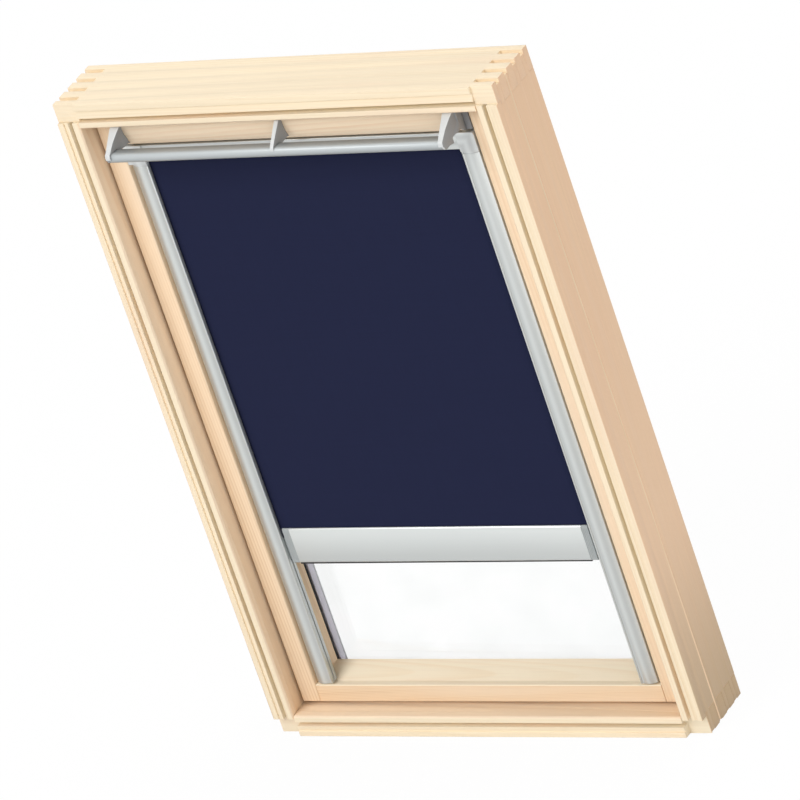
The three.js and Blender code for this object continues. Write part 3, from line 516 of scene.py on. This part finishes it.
def moulded(name, colour, roughness=0.45, grain=900.0, strength=0.5, bump=0.12, seed=0.0):
    """Plastic, rubber, foam or paint."""
    return surface(
        name, "Moulded skin", bump=bump, Tint=tint(colour), Base_Roughness=roughness,
        Grain_Scale=grain, Grain_Strength=strength, Seed=seed,
    )


def woven(name, seed=0.0, shader=None):
    """Blackout cloth, seen from the room."""
    return surface(
        name, "Woven cloth", bump=0.25, shader=shader, Tint=tint("cloth"),
        Thread_Pitch=settings("blind").thread, Seed=seed,
    )


# Pieces


def as_mesh(name, work, material):
    """A named mesh with one material, from a finished edit mesh."""
    mesh = bpy.data.meshes.new(name)
    work.to_mesh(mesh)
    work.free()
    mesh.materials.append(material)
    return mesh


def link(name, data):
    """A new object for a mesh, lamp or camera, in the scene."""
    piece = bpy.data.objects.new(name, data)
    bpy.context.scene.collection.objects.link(piece)
    return piece


def new_piece(name, mesh, body, kind=None, segments=2):
    """A piece that rides on a body; one with a kind has its sharp edges softened."""
    piece = link(name, mesh)
    if kind:
        mesh.polygons.foreach_set("use_smooth", [True] * len(mesh.polygons))
        bevel = piece.modifiers.new(EASED, "BEVEL")
        bevel.width = settings(kind).ease
        bevel.segments = segments
        bevel.limit_method = "ANGLE"
        bevel.angle_limit = SHARP
        bevel.miter_outer = "MITER_ARC"
        bevel.harden_normals = True
    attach(piece, body)
    return piece


def dress(node, material, kind="metal", segments=2):
    """A piece that stands for one CAD node: its triangles joined, its edges eased by kind."""
    work = bmesh.new()
    work.from_mesh(frame["nodes"][node].data)
    bmesh.ops.remove_doubles(work, verts=work.verts, dist=2e-6)
    bmesh.ops.dissolve_limit(work, angle_limit=FLAT, verts=work.verts, edges=work.edges)
    name = f"{node}_finished"
    mesh = as_mesh(name, work, material)
    piece = new_piece(name, mesh, BODY_OF[node], kind, segments)
    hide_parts(node)
    return piece


def repaint(piece, material, chosen):
    """Gives a second material to the faces that pass a test."""
    piece.data.materials.append(material)
    for face in piece.data.polygons:
        face.material_index = int(chosen(face))


def block(name, first, last, material, body, kind="metal"):
    """A small eased block between two corners."""
    work = bmesh.new()
    bmesh.ops.create_cube(work, size=1.0)
    for vert in work.verts:
        vert.co = Vector(last[i] if vert.co[i] > 0 else first[i] for i in range(3))
    bmesh.ops.recalc_face_normals(work, faces=work.faces)
    new_piece(name, as_mesh(name, work, material), body, kind)


# Repeated details, made by Geometry Nodes


def run_tree(name, mesh, tree_name, body, values):
    """The baked result of a geometry tree on a mesh, riding on a body."""
    holder = link(name, mesh)
    modifier = holder.modifiers.new("Detail", "NODES")
    modifier.node_group = shared_group(tree_name)
    for item in modifier.node_group.interface.items_tree:
        if item.in_out == "INPUT" and item.name in values:
            modifier[item.identifier] = values[item.name]
    graph = bpy.context.evaluated_depsgraph_get()
    result = bpy.data.meshes.new_from_object(holder.evaluated_get(graph), depsgraph=graph)
    bpy.data.objects.remove(holder)
    result.name = name
    new_piece(name, result, body)


def grown(tree, kind, inputs, **choices):
    """The first output of a new geometry node."""
    return add(tree, f"GeometryNode{kind}", inputs, **choices).outputs[0]


def spread(tree, given, result, shape, **turned):
    """Copies of a shape at the points of the given mesh, made real in the given material."""
    points = grown(tree, "MeshToPoints", {"Mesh": given["Geometry"]})
    copies = grown(tree, "InstanceOnPoints", {"Points": points, "Instance": shape, **turned})
    real = grown(tree, "RealizeInstances", {0: copies})
    feed(grown(tree, "SetMaterial", {0: real, "Material": given["Finish"]}), result[0])


def screw_tree():
    """Pan heads with a cross recess at the points of a mesh, along the points' facing attribute."""
    tree, given, result = new_group("Screw heads", {
        "Geometry": SHAPE, "Head Radius": 0.0036, "Head Height": 0.0009, "Recess": 0.002,
        "Finish": FINISH,
    }, {"Geometry": SHAPE}, "GeometryNodeTree")
    radius, height, recess = (Term(given[key]) for key in ("Head Radius", "Head Height", "Recess"))
    disc = grown(tree, "MeshCone", {
        "Vertices": 20, "Side Segments": 1, "Fill Segments": 1, "Radius Top": radius * 0.72,
        "Radius Bottom": radius, "Depth": height,
    })
    head = add(tree, "GeometryNodeMeshBoolean", {0: disc}, operation="DIFFERENCE")
    for wide, long in ((2.0, 0.42), (0.42, 2.0)):
        size = combine(tree, recess * wide, recess * long, height * 1.1)
        arm = grown(tree, "MeshCube", {"Size": size})
        lift = combine(tree, z=height * 0.95)
        feed(grown(tree, "Transform", {"Geometry": arm, "Translation": lift}), head.inputs[1])
    facing = grown(tree, "InputNamedAttribute", {"Name": "facing"}, data_type="FLOAT_VECTOR")
    turned = add(tree, "FunctionNodeAlignRotationToVector", {"Vector": facing}, axis="Z")
    spread(tree, given, result, head.outputs[0], Rotation=turned.outputs[0])
    return tree


def screws(name, body, places, material, size=1.0):
    """Screw heads of one body; places are (point, direction that the head faces)."""
    fixing = settings("fixings")
    mesh = bpy.data.meshes.new(name)
    mesh.from_pydata([place for place, _ in places], [], [])
    facing = mesh.attributes.new("facing", "FLOAT_VECTOR", "POINT")
    facing.data.foreach_set("vector", [value for _, way in places for value in way])
    run_tree(name, mesh, "Screw heads", body, {
        "Head Radius": fixing.head_radius * size, "Head Height": fixing.head_height * size,
        "Recess": fixing.recess * size, "Finish": material,
    })


def rib_tree():
    """Grip ribs side by side along X, standing out towards -Y, at the points of a mesh."""
    tree, given, result = new_group("Grip ribs", {
        "Geometry": SHAPE, "Count": 3, "Pitch": 0.0024, "Width": 0.0011, "Height": 0.0004,
        "Length": 0.04, "Finish": FINISH,
    }, {"Geometry": SHAPE}, "GeometryNodeTree")
    count, pitch, width, height = (
        Term(given[key]) for key in ("Count", "Pitch", "Width", "Height")
    )
    row = grown(tree, "MeshLine", {"Count": count, "Offset": combine(tree, pitch)},
                mode="OFFSET", count_mode="TOTAL")
    back = combine(tree, (count - 1.0) * pitch * -0.5)
    centred = grown(tree, "Transform", {"Geometry": row, "Translation": back})
    rod = grown(tree, "MeshCylinder", {
        "Vertices": 16, "Radius": width * 0.5, "Depth": given["Length"],
    })
    flat = combine(tree, 1.0, height * 2.0 / width, 1.0)
    rib = grown(tree, "Transform", {"Geometry": rod, "Scale": flat})
    ribs = grown(tree, "InstanceOnPoints", {"Points": centred, "Instance": rib})
    spread(tree, given, result, ribs)
    return tree


# Operators, one for each piece or group of like pieces


SIDES = (("right", 1), ("left", -1))
FRAME_MIDDLE = 0.4876    # height half way between the lining slots of the sill and the head
SLOT_FROM = {True: 0.3075, False: 0.4655}    # near edge of a jamb's and a level board's slot
SLOT_WIDTH = 0.0072
SLOT_DEPTH = 0.0115
SLOT_FLOOR = (0.0104, 0.0116)    # depths where a slot's floor nearly meets the cut behind it
ROOM_FACE = -0.052
OUTER_SIDE = 0.33
GROOVE_LINES = (-0.014, -0.0138, -0.0115, -0.0095)    # Y of the side groove's four long edges
GROOVE_CUT = 0.002
NEAR = 1e-5
GLASS_EASE = 0.2 * MM
COVER_FOOT = 0.0655    # top of the bottom cover; the CAD's stands in front of clear glass
PLATE_HOLES = ((0.0, -0.034), (-0.006, -0.022), (0.006, 0.022), (0.0, 0.034))    # Y, Z
PLATES_FROM = 0.2542    # X where the plates of the two end brackets begin
HINGE_GAPS = (0.3 * MM, 8.3 * MM)    # from the bracket's plate, and from the end of the flap's pin
HINGE_BACK = 12.8 * MM    # from the flap's room side
HINGE_INSET = 1.5 * MM    # from the flap's other sides
LIP_DEPTHS = (-3 * MM, 1 * MM)    # Y of the rubber lip, from the middle of the lower bar
LIP_DROP = 1.8 * MM    # how far the lip hangs below the bar
RIB_FROM_PROFILE = 0.0052    # from the end of the lower bar's profile to the ribs of a slider
RIB_LENGTH = 0.044
CLOTH_COLUMNS = 25
WRAP_ROWS = 7    # rows of the cloth's quarter turn on the roller
FIRST_ROW = 0.0006    # share of the cloth's length that its first row takes
FLOOR_REACH = 9.0


class WINDOW_OT_frame(Operator):
    """Dress the four timber members of the outer frame"""

    bl_idname = "window.frame"
    bl_label = "Timber frame"

    def execute(self, context):
        boards = (    # name, direction of the grain, seed, streaks, place of the pith, slope
            ("head", "x", 1.3, 0.45, (0.10, 1.06), 0.015),
            ("sill", "x", 4.1, 0.5, (0.09, -0.05), -0.02),
            ("jamb_right", "z", 7.7, 0.5, (0.40, 0.10), 0.012),
            ("jamb_left", "z", 9.2, 0.5, (-0.39, 0.11), 0.015),
        )
        for order, (board, along, seed, streaks, pith, slope) in enumerate(boards):
            wood = timber(f"Pine of the {board}", along, seed, "frame", streaks, pith, slope,
                          foot=board == "sill")
            piece = dress(f"frame_{board}", wood, "timber")
            # Painted shade: pinker, darker pine for the faces round the sash, the outer groove and
            # the slots
            for part in ("inner", "slot"):
                name = f"Pine {part} of the {board}"
                piece.data.materials.append(timber(name, along, 20.0 + order, part))
            upright = along == "z"
            work = bmesh.new()
            work.from_mesh(piece.data)
            if upright:
                self.cut_side_groove(work)
            self.spare_slot_floors(work)
            work.to_mesh(piece.data)
            work.free()
            piece.modifiers[EASED].limit_method = "WEIGHT"
            for face in piece.data.polygons:
                face.material_index = self.part_of(face, upright)
        return {"FINISHED"}

    @staticmethod
    def spare_slot_floors(work):
        """Leaves sharp the edges of the side groove and of a slot's floor, too close to ease."""
        weight = work.edges.layers.float.new("bevel_weight_edge")
        for edge in work.edges:
            depth = (edge.verts[0].co.y + edge.verts[1].co.y) / 2 - ROOM_FACE
            sharp = len(edge.link_faces) == 2 and edge.calc_face_angle() > SHARP
            in_groove = all(
                abs(vert.co.x) > OUTER_SIDE - 1.1 * GROOVE_CUT
                and GROOVE_LINES[0] - NEAR < vert.co.y < GROOVE_LINES[-1] + NEAR
                for vert in edge.verts
            )
            eased = sharp and not in_groove and not SLOT_FLOOR[0] < depth < SLOT_FLOOR[1]
            edge[weight] = float(eased)
            edge.smooth = eased or not sharp

    @staticmethod
    def cut_side_groove(work):
        """The shallow groove along the outer side: steep towards the room, sloped away from it."""
        for depth in GROOVE_LINES:
            faces = [
                face for face in work.faces
                if any(abs(vert.co.x) > OUTER_SIDE - NEAR for vert in face.verts)
            ]
            parts = {part for face in faces for part in (face, *face.edges, *face.verts)}
            bmesh.ops.bisect_plane(
                work, geom=list(parts), dist=1e-6, plane_co=(0, depth, 0), plane_no=(0, 1, 0)
            )
        sunk = GROOVE_LINES[1] - NEAR, GROOVE_LINES[2] + NEAR
        for vert in work.verts:
            if abs(vert.co.x) > OUTER_SIDE - NEAR and sunk[0] < vert.co.y < sunk[1]:
                vert.co.x = math.copysign(OUTER_SIDE - GROOVE_CUT, vert.co.x)
        work.normal_update()

    @staticmethod
    def part_of(face, upright):
        """0 for a plain face, 1 for one facing the sash or in the outer groove, 2 in a lining slot;
        1 and 2 take painted shade.
        """
        place, normal = face.center, face.normal
        across = abs(place.x) if upright else abs(place.z - FRAME_MIDDLE)
        inwards = abs(normal.x if upright else normal.z) > 0.7
        near = SLOT_FROM[upright] < across < SLOT_FROM[upright] + SLOT_WIDTH
        if near and ROOM_FACE + 0.5 * MM < place.y < ROOM_FACE + SLOT_DEPTH:
            return 2
        grooved = upright and OUTER_SIDE - 1.1 * GROOVE_CUT < across < OUTER_SIDE - 10 * NEAR
        return int(grooved or inwards and across < SLOT_FROM[upright])


class WINDOW_OT_sash(Operator):
    """Dress the timber sash, its seal and its ventilation flap"""

    bl_idname = "window.sash"
    bl_label = "Timber sash and flap"

    def execute(self, context):
        boards = (    # as timber() takes them
            ("sash_stile_right", "z", 2.6, "sash", 0.6, (0.33, 0.05), 0.02),
            ("sash_stile_left", "z", 5.9, "sash", 0.6, (-0.34, 0.05), 0.02),
            ("sash_bottom_rail", "x", 8.8, "sash", 1.0, (0.018, -0.012), 0.05, 0.0019, 0.2),
            ("sash_top_rail", "x", 3.4, "sash", 0.6, (0.05, 0.98), 0.02),
            # painted light: the flap takes its own lighter palette
            ("vent_flap", "x", 6.2, "flap", 0.6, (0.04, 0.90), 0.02),
        )
        for node, *cut in boards:
            piece = dress(node, timber(f"Pine of the {node}", *cut), "timber")
            # Painted light: the rail's up-facing bevel takes a lighter copy of the pine
            if node == "sash_bottom_rail":
                cut = "x", 8.8, "bevel", 0.5, (-0.03, 0.10), 0.03, 0.0024
                repaint(piece, timber("Pine of the bevel", *cut),
                        lambda face: face.normal.z > 0.3 and face.normal.y < 0.3)
        rubber = moulded("Sash seal rubber", "rubber", 0.7, 700, 0.6, seed=1.0)
        dress("sash_seal", rubber, "timber")
        foam = moulded("Filter foam", "foam", 0.95, 420, 1.0, 0.9, seed=2.0)
        dress("air_filter", foam, "timber")
        return {"FINISHED"}


class WINDOW_OT_glazing(Operator):
    """Dress the double glazing, its spacer and its seals"""

    bl_idname = "window.glazing"
    bl_label = "Glazing"

    def execute(self, context):
        glass = surface(
            "Window glass", "Moulded skin", bump=0.0,
            shader={"Transmission Weight": 1.0, "IOR": 1.45},
            Tint=(0.995, 1.0, 0.998, 1.0), Base_Roughness=0.0, Grain_Strength=0.0,
        )
        for node in ("glass_inner", "glass_outer"):
            dress(node, glass).modifiers[EASED].width = GLASS_EASE
        dress("glass_spacer", metal("Glazing spacer", "spacer", "z", 0.3, Seed=3.0))
        rubber = moulded("Glazing rubber", "rubber", 0.6, 800, seed=4.0)
        dress("glazing_bedding", rubber)
        seal = moulded("Outer seal rubber", "pale_rubber", 0.55, 800, 0.4, seed=4.5)
        dress("glazing_outer_seal", seal)
        return {"FINISHED"}


class WINDOW_OT_covers(Operator):
    """Dress the four outer covers and add their screws"""

    bl_idname = "window.covers"
    bl_label = "Outer covers"

    def execute(self, context):
        bare = metal("Bare aluminium", "bare", "x", 0.35, 0.85, 0.4, Seed=2.5)
        places = []
        for along, nodes in (("z", ("side_right", "side_left")), ("x", ("top", "bottom"))):
            name = f"Cover paint {along}"
            paint = metal(name, "cover", along, 0.42, 0.35, 0.25, 0.4, 0.04, Seed=2.0)
            for node in nodes:
                piece = dress(f"cover_{node}", paint)
                repaint(piece, bare, lambda face: face.normal.y < -0.5)
                low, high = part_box(f"cover_{node}")
                if node == "bottom":
                    high.z = COVER_FOOT
                    for vert in piece.data.vertices:
                        vert.co.z = min(vert.co.z, COVER_FOOT)
                for share in (-0.42, -0.14, 0.14, 0.42):
                    point = (low + high) / 2
                    axis = "xyz".index(along)
                    point[axis] += share * (high - low)[axis]
                    point.y = high.y
                    places.append((point, (0, 1, 0)))
        screws("cover_screws", "sash", places, paint, size=1.1)
        return {"FINISHED"}


class WINDOW_OT_pivots(Operator):
    """Dress the friction pivots, their washers and screws, and the lock"""

    bl_idname = "window.pivots"
    bl_label = "Pivots and lock"

    def execute(self, context):
        plate = metal("Zinc plate", "steel", "z", 0.38, 0.9, 0.7, Seed=5.0)
        brass = metal("Washer brass", "brass", "x", 0.35, 0.95, 0.6, Seed=6.0)
        bright = metal("Screw steel", "steel", "x", 0.28, 0.95, 0.4, Seed=7.0)
        dark = metal("Pin steel", "pin", "x", 0.45, 0.3, 0.4, Seed=7.5)
        for side, _ in SIDES:
            dress(f"pivot_frame_plate_{side}", plate)
            dress(f"pivot_sash_plate_{side}", plate)
            dress(f"pivot_washer_{side}", brass)
            dress(f"flap_pin_{side}", dark)
        for node in ("lock_striker", "lock_case"):
            dress(node, plate)
        for body, bearer, way in (("frame", "frame_jamb", -1), ("sash", "pivot_sash_plate", 1)):
            places = []
            for side, sign in SIDES:
                facing = sign * way
                low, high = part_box(f"pivot_{body}_plate_{side}")
                middle = (low + high) / 2
                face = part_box(f"{bearer}_{side}")[int(facing > 0)].x
                for depth, height in PLATE_HOLES:
                    point = face, middle.y + depth, middle.z + height
                    places.append((point, (facing, 0, 0)))
            screws(f"{body}_plate_screws", body, places, bright, size=0.75)
        return {"FINISHED"}


class WINDOW_OT_control(Operator):
    """Dress the control bar and its brackets, and add the flap's hinge blocks"""

    bl_idname = "window.control"
    bl_label = "Control bar"

    def execute(self, context):
        # Painted highlight and shade: the band lights the bar's upper front and darkens its lower
        # front and top rear
        bar = metal(
            "Control bar aluminium", "bar", "x", 0.36, 0.1, Seed=8.0,
            Turned_Direction=(0, 0.6, 1), Band_Place=0.8692, Band_Pitch=0.025, Band_Strength=0.44,
        )
        dress("control_bar", bar)
        flank = moulded("Bracket flank", "bracket", 0.42, 1100, 0.4, seed=8.5)
        # Painted shade: the hinge blocks are darker than the flanks
        hinge = moulded("Hinge block", "hinge", 0.45, 1100, 0.4, seed=8.6)
        # Painted highlight: the brackets' narrow faces take a lighter copy of their grey
        strip = moulded("Bracket edge", "bracket_strip", 0.34, 1100, 0.4, seed=8.7)
        for place in ("left", "middle", "right"):
            piece = dress(f"bracket_{place}", flank, "plastic", 3)
            repaint(piece, strip, lambda face: (
                abs(face.normal.x) <= 0.4 and abs(face.center.x) < PLATES_FROM
            ))
        low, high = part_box("vent_flap")
        for side, sign in SIDES:
            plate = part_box(f"bracket_{side}")[int(sign > 0)].x
            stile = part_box(f"flap_pin_{side}")[int(sign > 0)].x
            block(f"flap_hinge_{side}",
                  (plate + sign * HINGE_GAPS[0], low.y + HINGE_BACK, low.z + HINGE_INSET),
                  (stile - sign * HINGE_GAPS[1], high.y - HINGE_INSET, high.z - HINGE_INSET),
                  hinge, "sash", "plastic")
        return {"FINISHED"}


class WINDOW_OT_channels(Operator):
    """Dress the side channels, their clips, the casing and its end caps"""

    bl_idname = "window.channels"
    bl_label = "Channels and casing"

    def execute(self, context):
        # Painted light and shade: soft bands across the channels, casing and caps stand in for the
        # shading of their curved profiles
        bands = {"Band_Pitch": 0.0132, "Band_Strength": 0.09}
        upright = metal(
            "Channel aluminium", "anodised", "z", 0.36, 0.7, Seed=9.0, Band_Direction=(0, 1, 0),
            Band_Place=0.2484, **bands,
        )
        level = metal(
            "Casing aluminium", "anodised", "x", 0.36, 0.7, Seed=9.5, Turned_Direction=(0, 0, 1),
            Turned_Offset=-0.6395, Band_Place=0.2529, **bands,
        )
        cap = metal(
            "Cap plastic", "cap", "z", 0.4, 0.4, 0.2, Seed=11.0, Band_Direction=(0, 1, 0),
            Turned_Direction=(1, 0, 0), Turned_Offset=-0.6395, Band_Place=0.2484, **bands,
        )
        spring = metal("Clip steel", "steel", "z", 0.3, 0.95, Seed=10.0)
        for side, _ in SIDES:
            dress(f"blind_channel_{side}", upright)
            dress(f"blind_casing_cap_{side}", cap, "plastic", 3)
            for height in ("lower", "middle", "upper"):
                dress(f"channel_clip_{height}_{side}", spring)
        dress("blind_casing", level)
        return {"FINISHED"}


class WINDOW_OT_roller(Operator):
    """Dress the roller, its plugs and the cloth wound on it"""

    bl_idname = "window.roller"
    bl_label = "Roller"

    def execute(self, context):
        dress("roller_tube", metal("Roller tube", "anodised", "x", 0.4, Seed=12.0))
        dress("roller_wound_cloth", woven("Wound cloth", seed=1.0))
        grey = moulded("Plug plastic", "slider", 0.5, strength=0.4, seed=13.0)
        for side, _ in SIDES:
            dress(f"roller_plug_{side}", grey)
        return {"FINISHED"}


class WINDOW_OT_lower_bar(Operator):
    """Dress the lower bar of the blind and its sliders, and add its lip and their grip ribs"""

    bl_idname = "window.lower_bar"
    bl_label = "Lower bar of the blind"

    def execute(self, context):
        # Painted light and shade: the band grades the bar's brightness with its height
        bar = metal(
            "Lower bar aluminium", "lower_bar", "x", 0.36, 0.7, Seed=14.0,
            Band_Direction=(0, 0, 1), Band_Place=0.31, Band_Pitch=0.108, Band_Strength=0.13,
        )
        dress("blind_bar_profile", bar, segments=3)
        dress("blind_bar_weight", metal("Weight steel", "steel", "x", 0.5, Seed=16.0))
        grey = moulded("Slider plastic", "slider", 0.5, 1000, seed=15.0)
        dress("blind_bar_clamp", grey)
        low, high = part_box("blind_bar_profile")
        middle = (low + high) / 2
        spots = []
        for side, sign in SIDES:
            dress(f"blind_bar_slider_{side}", grey)
            spots.append((sign * (high.x + RIB_FROM_PROFILE), low.y, middle.z))
        rubber = moulded("Lip rubber", "rubber", 0.6, 800, seed=15.5)
        block("blind_bar_lip", (low.x, middle.y + LIP_DEPTHS[0], low.z - LIP_DROP),
              (high.x, middle.y + LIP_DEPTHS[1], low.z), rubber, "blind")
        mesh = bpy.data.meshes.new("slider_ribs")
        mesh.from_pydata(spots, [], [])
        blind = settings("blind")
        run_tree("slider_ribs", mesh, "Grip ribs", "blind", {
            "Count": 3, "Pitch": blind.rib_pitch, "Width": blind.rib_width,
            "Height": blind.rib_height, "Length": RIB_LENGTH, "Finish": grey,
        })
        return {"FINISHED"}


class WINDOW_OT_cloth(Operator):
    """Make the blackout cloth, stretched from the roller to the lower bar"""

    bl_idname = "window.cloth"
    bl_label = "Blackout cloth"

    def execute(self, context):
        low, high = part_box("blind_fabric")
        roll_low, roll_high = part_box("roller_wound_cloth")
        axis = (roll_low + roll_high) / 2
        depth = (low.y + high.y) / 2
        wrap = axis.y - depth
        rows = [(depth, low.z), (depth, low.z + FIRST_ROW * (high.z - low.z))]
        for row in range(WRAP_ROWS):
            angle = math.pi / 2 * row / (WRAP_ROWS - 1)
            rows.append((axis.y - wrap * math.cos(angle), axis.z + wrap * math.sin(angle)))
        across = [low.x + (high.x - low.x) * i / (CLOTH_COLUMNS - 1) for i in range(CLOTH_COLUMNS)]
        corners = (0, 1, CLOTH_COLUMNS + 1, CLOTH_COLUMNS)
        faces = [
            [row * CLOTH_COLUMNS + column + corner for corner in corners]
            for row in range(len(rows) - 1) for column in range(CLOTH_COLUMNS - 1)
        ]
        mesh = bpy.data.meshes.new("blackout_cloth")
        mesh.from_pydata([(x, y, z) for y, z in rows for x in across], [], faces)
        mesh.polygons.foreach_set("use_smooth", [True] * len(mesh.polygons))
        mesh.materials.append(woven("Blackout cloth", shader={"Specular IOR Level": 0.1}))
        mesh.materials.append(moulded("Cloth coating", "lining", bump=0.1))
        piece = link("blackout_cloth", mesh)
        wall = piece.modifiers.new("Cloth thickness", "SOLIDIFY")
        wall.thickness = high.y - low.y
        wall.offset = 0
        wall.material_offset = 1
        wall.material_offset_rim = 1
        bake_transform(piece)
        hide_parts("blind_fabric")
        return {"FINISHED"}


class WINDOW_OT_stage(Operator):
    """Make the floor, the lamps, the white surroundings and the camera"""

    bl_idname = "window.stage"
    bl_label = "Stage"

    def execute(self, context):
        stage = settings("stage")
        self.make_floor(stage)
        self.make_world(context.scene, stage)
        self.make_lamps(stage)
        self.make_camera(context.scene, stage)
        context.scene.view_settings.view_transform = "Standard"
        return {"FINISHED"}

    def give(self, tree, output, lit, seen):
        """One shader for the light that is given back, another for what is seen or mirrored."""
        rays = add(tree, "LightPath").outputs
        share = Term(rays["Is Camera Ray"]).by("MAXIMUM", rays["Is Glossy Ray"])
        share = share.by("MAXIMUM", rays["Is Transmission Ray"])
        mixed = add(tree, "MixShader", {0: share, 1: lit.outputs[0], 2: seen.outputs[0]})
        feed(mixed.outputs[0], output)

    def make_floor(self, stage):
        """A pale floor that stays nearly white in shadow."""
        level = CAD_BOX[0][2] - 0.3 * MM
        mesh = bpy.data.meshes.new("floor")
        corners = ((-1, -1), (1, -1), (1, 1), (-1, 1))
        mesh.from_pydata([(x * FLOOR_REACH, y * FLOOR_REACH, level) for x, y in corners], [],
                         [(0, 1, 2, 3)])
        material = bpy.data.materials.new("Pale floor")
        tree, output = empty_tree(material)
        lit = add(tree, "BsdfDiffuse", {"Color": tone(stage.floor)})
        rest = 1.0 - stage.floor_glow
        veil = add(tree, "BsdfDiffuse", {"Color": (rest, rest, rest, 1.0)})
        glow = add(tree, "Emission", {"Strength": stage.floor_glow})
        white = add(tree, "AddShader", {0: veil.outputs[0], 1: glow.outputs[0]})
        self.give(tree, output, lit, white)
        mesh.materials.append(material)
        link("floor", mesh)

    def make_world(self, scene, stage):
        """White surroundings that light the window less than they look."""
        scene.world = bpy.data.worlds.new("White surroundings")
        tree, output = empty_tree(scene.world, "World")
        even, white = (
            add(tree, "Background", {"Color": (1.0, 1.0, 1.0, 1.0), "Strength": strength})
            for strength in (stage.sky, 1.0)
        )
        self.give(tree, output, even, white)

    def make_lamps(self, stage):
        """Four suns, each given by the way it lies in and by its width in degrees."""
        lamps = (
            ("Key lamp", stage.key, (-0.35, -0.8, 0.7), 35),
            ("Fill lamp", stage.fill, (0.9, -0.45, 0.3), 60),
            ("Front lamp", stage.front, (0.25, -1.0, -0.15), 50),
            ("Rear lamp", stage.rear, (0.15, 0.35, 1.0), 50),
        )
        for name, strength, towards, width in lamps:
            data = bpy.data.lights.new(name, "SUN")
            data.energy = strength * math.pi
            data.angle = math.radians(width)
            lamp = link(name, data)
            lamp.rotation_euler = Vector(towards).to_track_quat("Z", "Y").to_euler()
            lamp.location = Vector(towards) * 3

    def make_camera(self, scene, stage):
        """The camera that took the photograph, as fitted to the frame's corners."""
        data = bpy.data.cameras.new("Camera")
        data.lens = stage.lens
        data.clip_end = 60
        scene.camera = link("Camera", data)
        scene.camera.matrix_world = (
            Matrix.Translation(stage.aim)
            @ Matrix.Rotation(stage.azimuth, 4, "Z")
            @ Matrix.Rotation(math.pi / 2 - stage.elevation, 4, "X")
            @ Matrix.Rotation(-stage.roll, 4, "Z")
            @ Matrix.Translation((0, 0, stage.distance))
        )


OPERATORS = (
    WINDOW_OT_stage, WINDOW_OT_frame, WINDOW_OT_sash, WINDOW_OT_glazing, WINDOW_OT_covers,
    WINDOW_OT_pivots, WINDOW_OT_control, WINDOW_OT_channels, WINDOW_OT_roller,
    WINDOW_OT_lower_bar, WINDOW_OT_cloth,
)


class WINDOW_PT_panel(bpy.types.Panel):
    """Lists the settings and the steps that dress the roof window"""

    bl_label = "Roof window"
    bl_idname = "WINDOW_PT_panel"
    bl_space_type = "VIEW_3D"
    bl_region_type = "UI"
    bl_category = "Roof Window"

    def draw(self, context):
        for name, kind in SETTINGS.items():
            box = self.layout.box()
            box.label(text=kind.__doc__)
            for key in kind.__annotations__:
                box.prop(settings(name), key)
        for operator in OPERATORS:
            self.layout.operator(operator.bl_idname)


def register():
    """Registers the settings, the operators and the panel."""
    for name, kind in SETTINGS.items():
        bpy.utils.register_class(kind)
        setattr(bpy.types.Scene, f"window_{name}", bpy.props.PointerProperty(type=kind))
    for kind in (*OPERATORS, WINDOW_PT_panel):
        bpy.utils.register_class(kind)


def unregister():
    """Takes them all away again."""
    for kind in reversed((*OPERATORS, WINDOW_PT_panel)):
        bpy.utils.unregister_class(kind)
    for name, kind in SETTINGS.items():
        delattr(bpy.types.Scene, f"window_{name}")
        bpy.utils.unregister_class(kind)


def main():
    """Builds every piece and the stage."""
    register()
    for operator in OPERATORS:
        getattr(bpy.ops.window, operator.bl_idname.removeprefix("window."))()


if __name__ == "__main__":
    main()
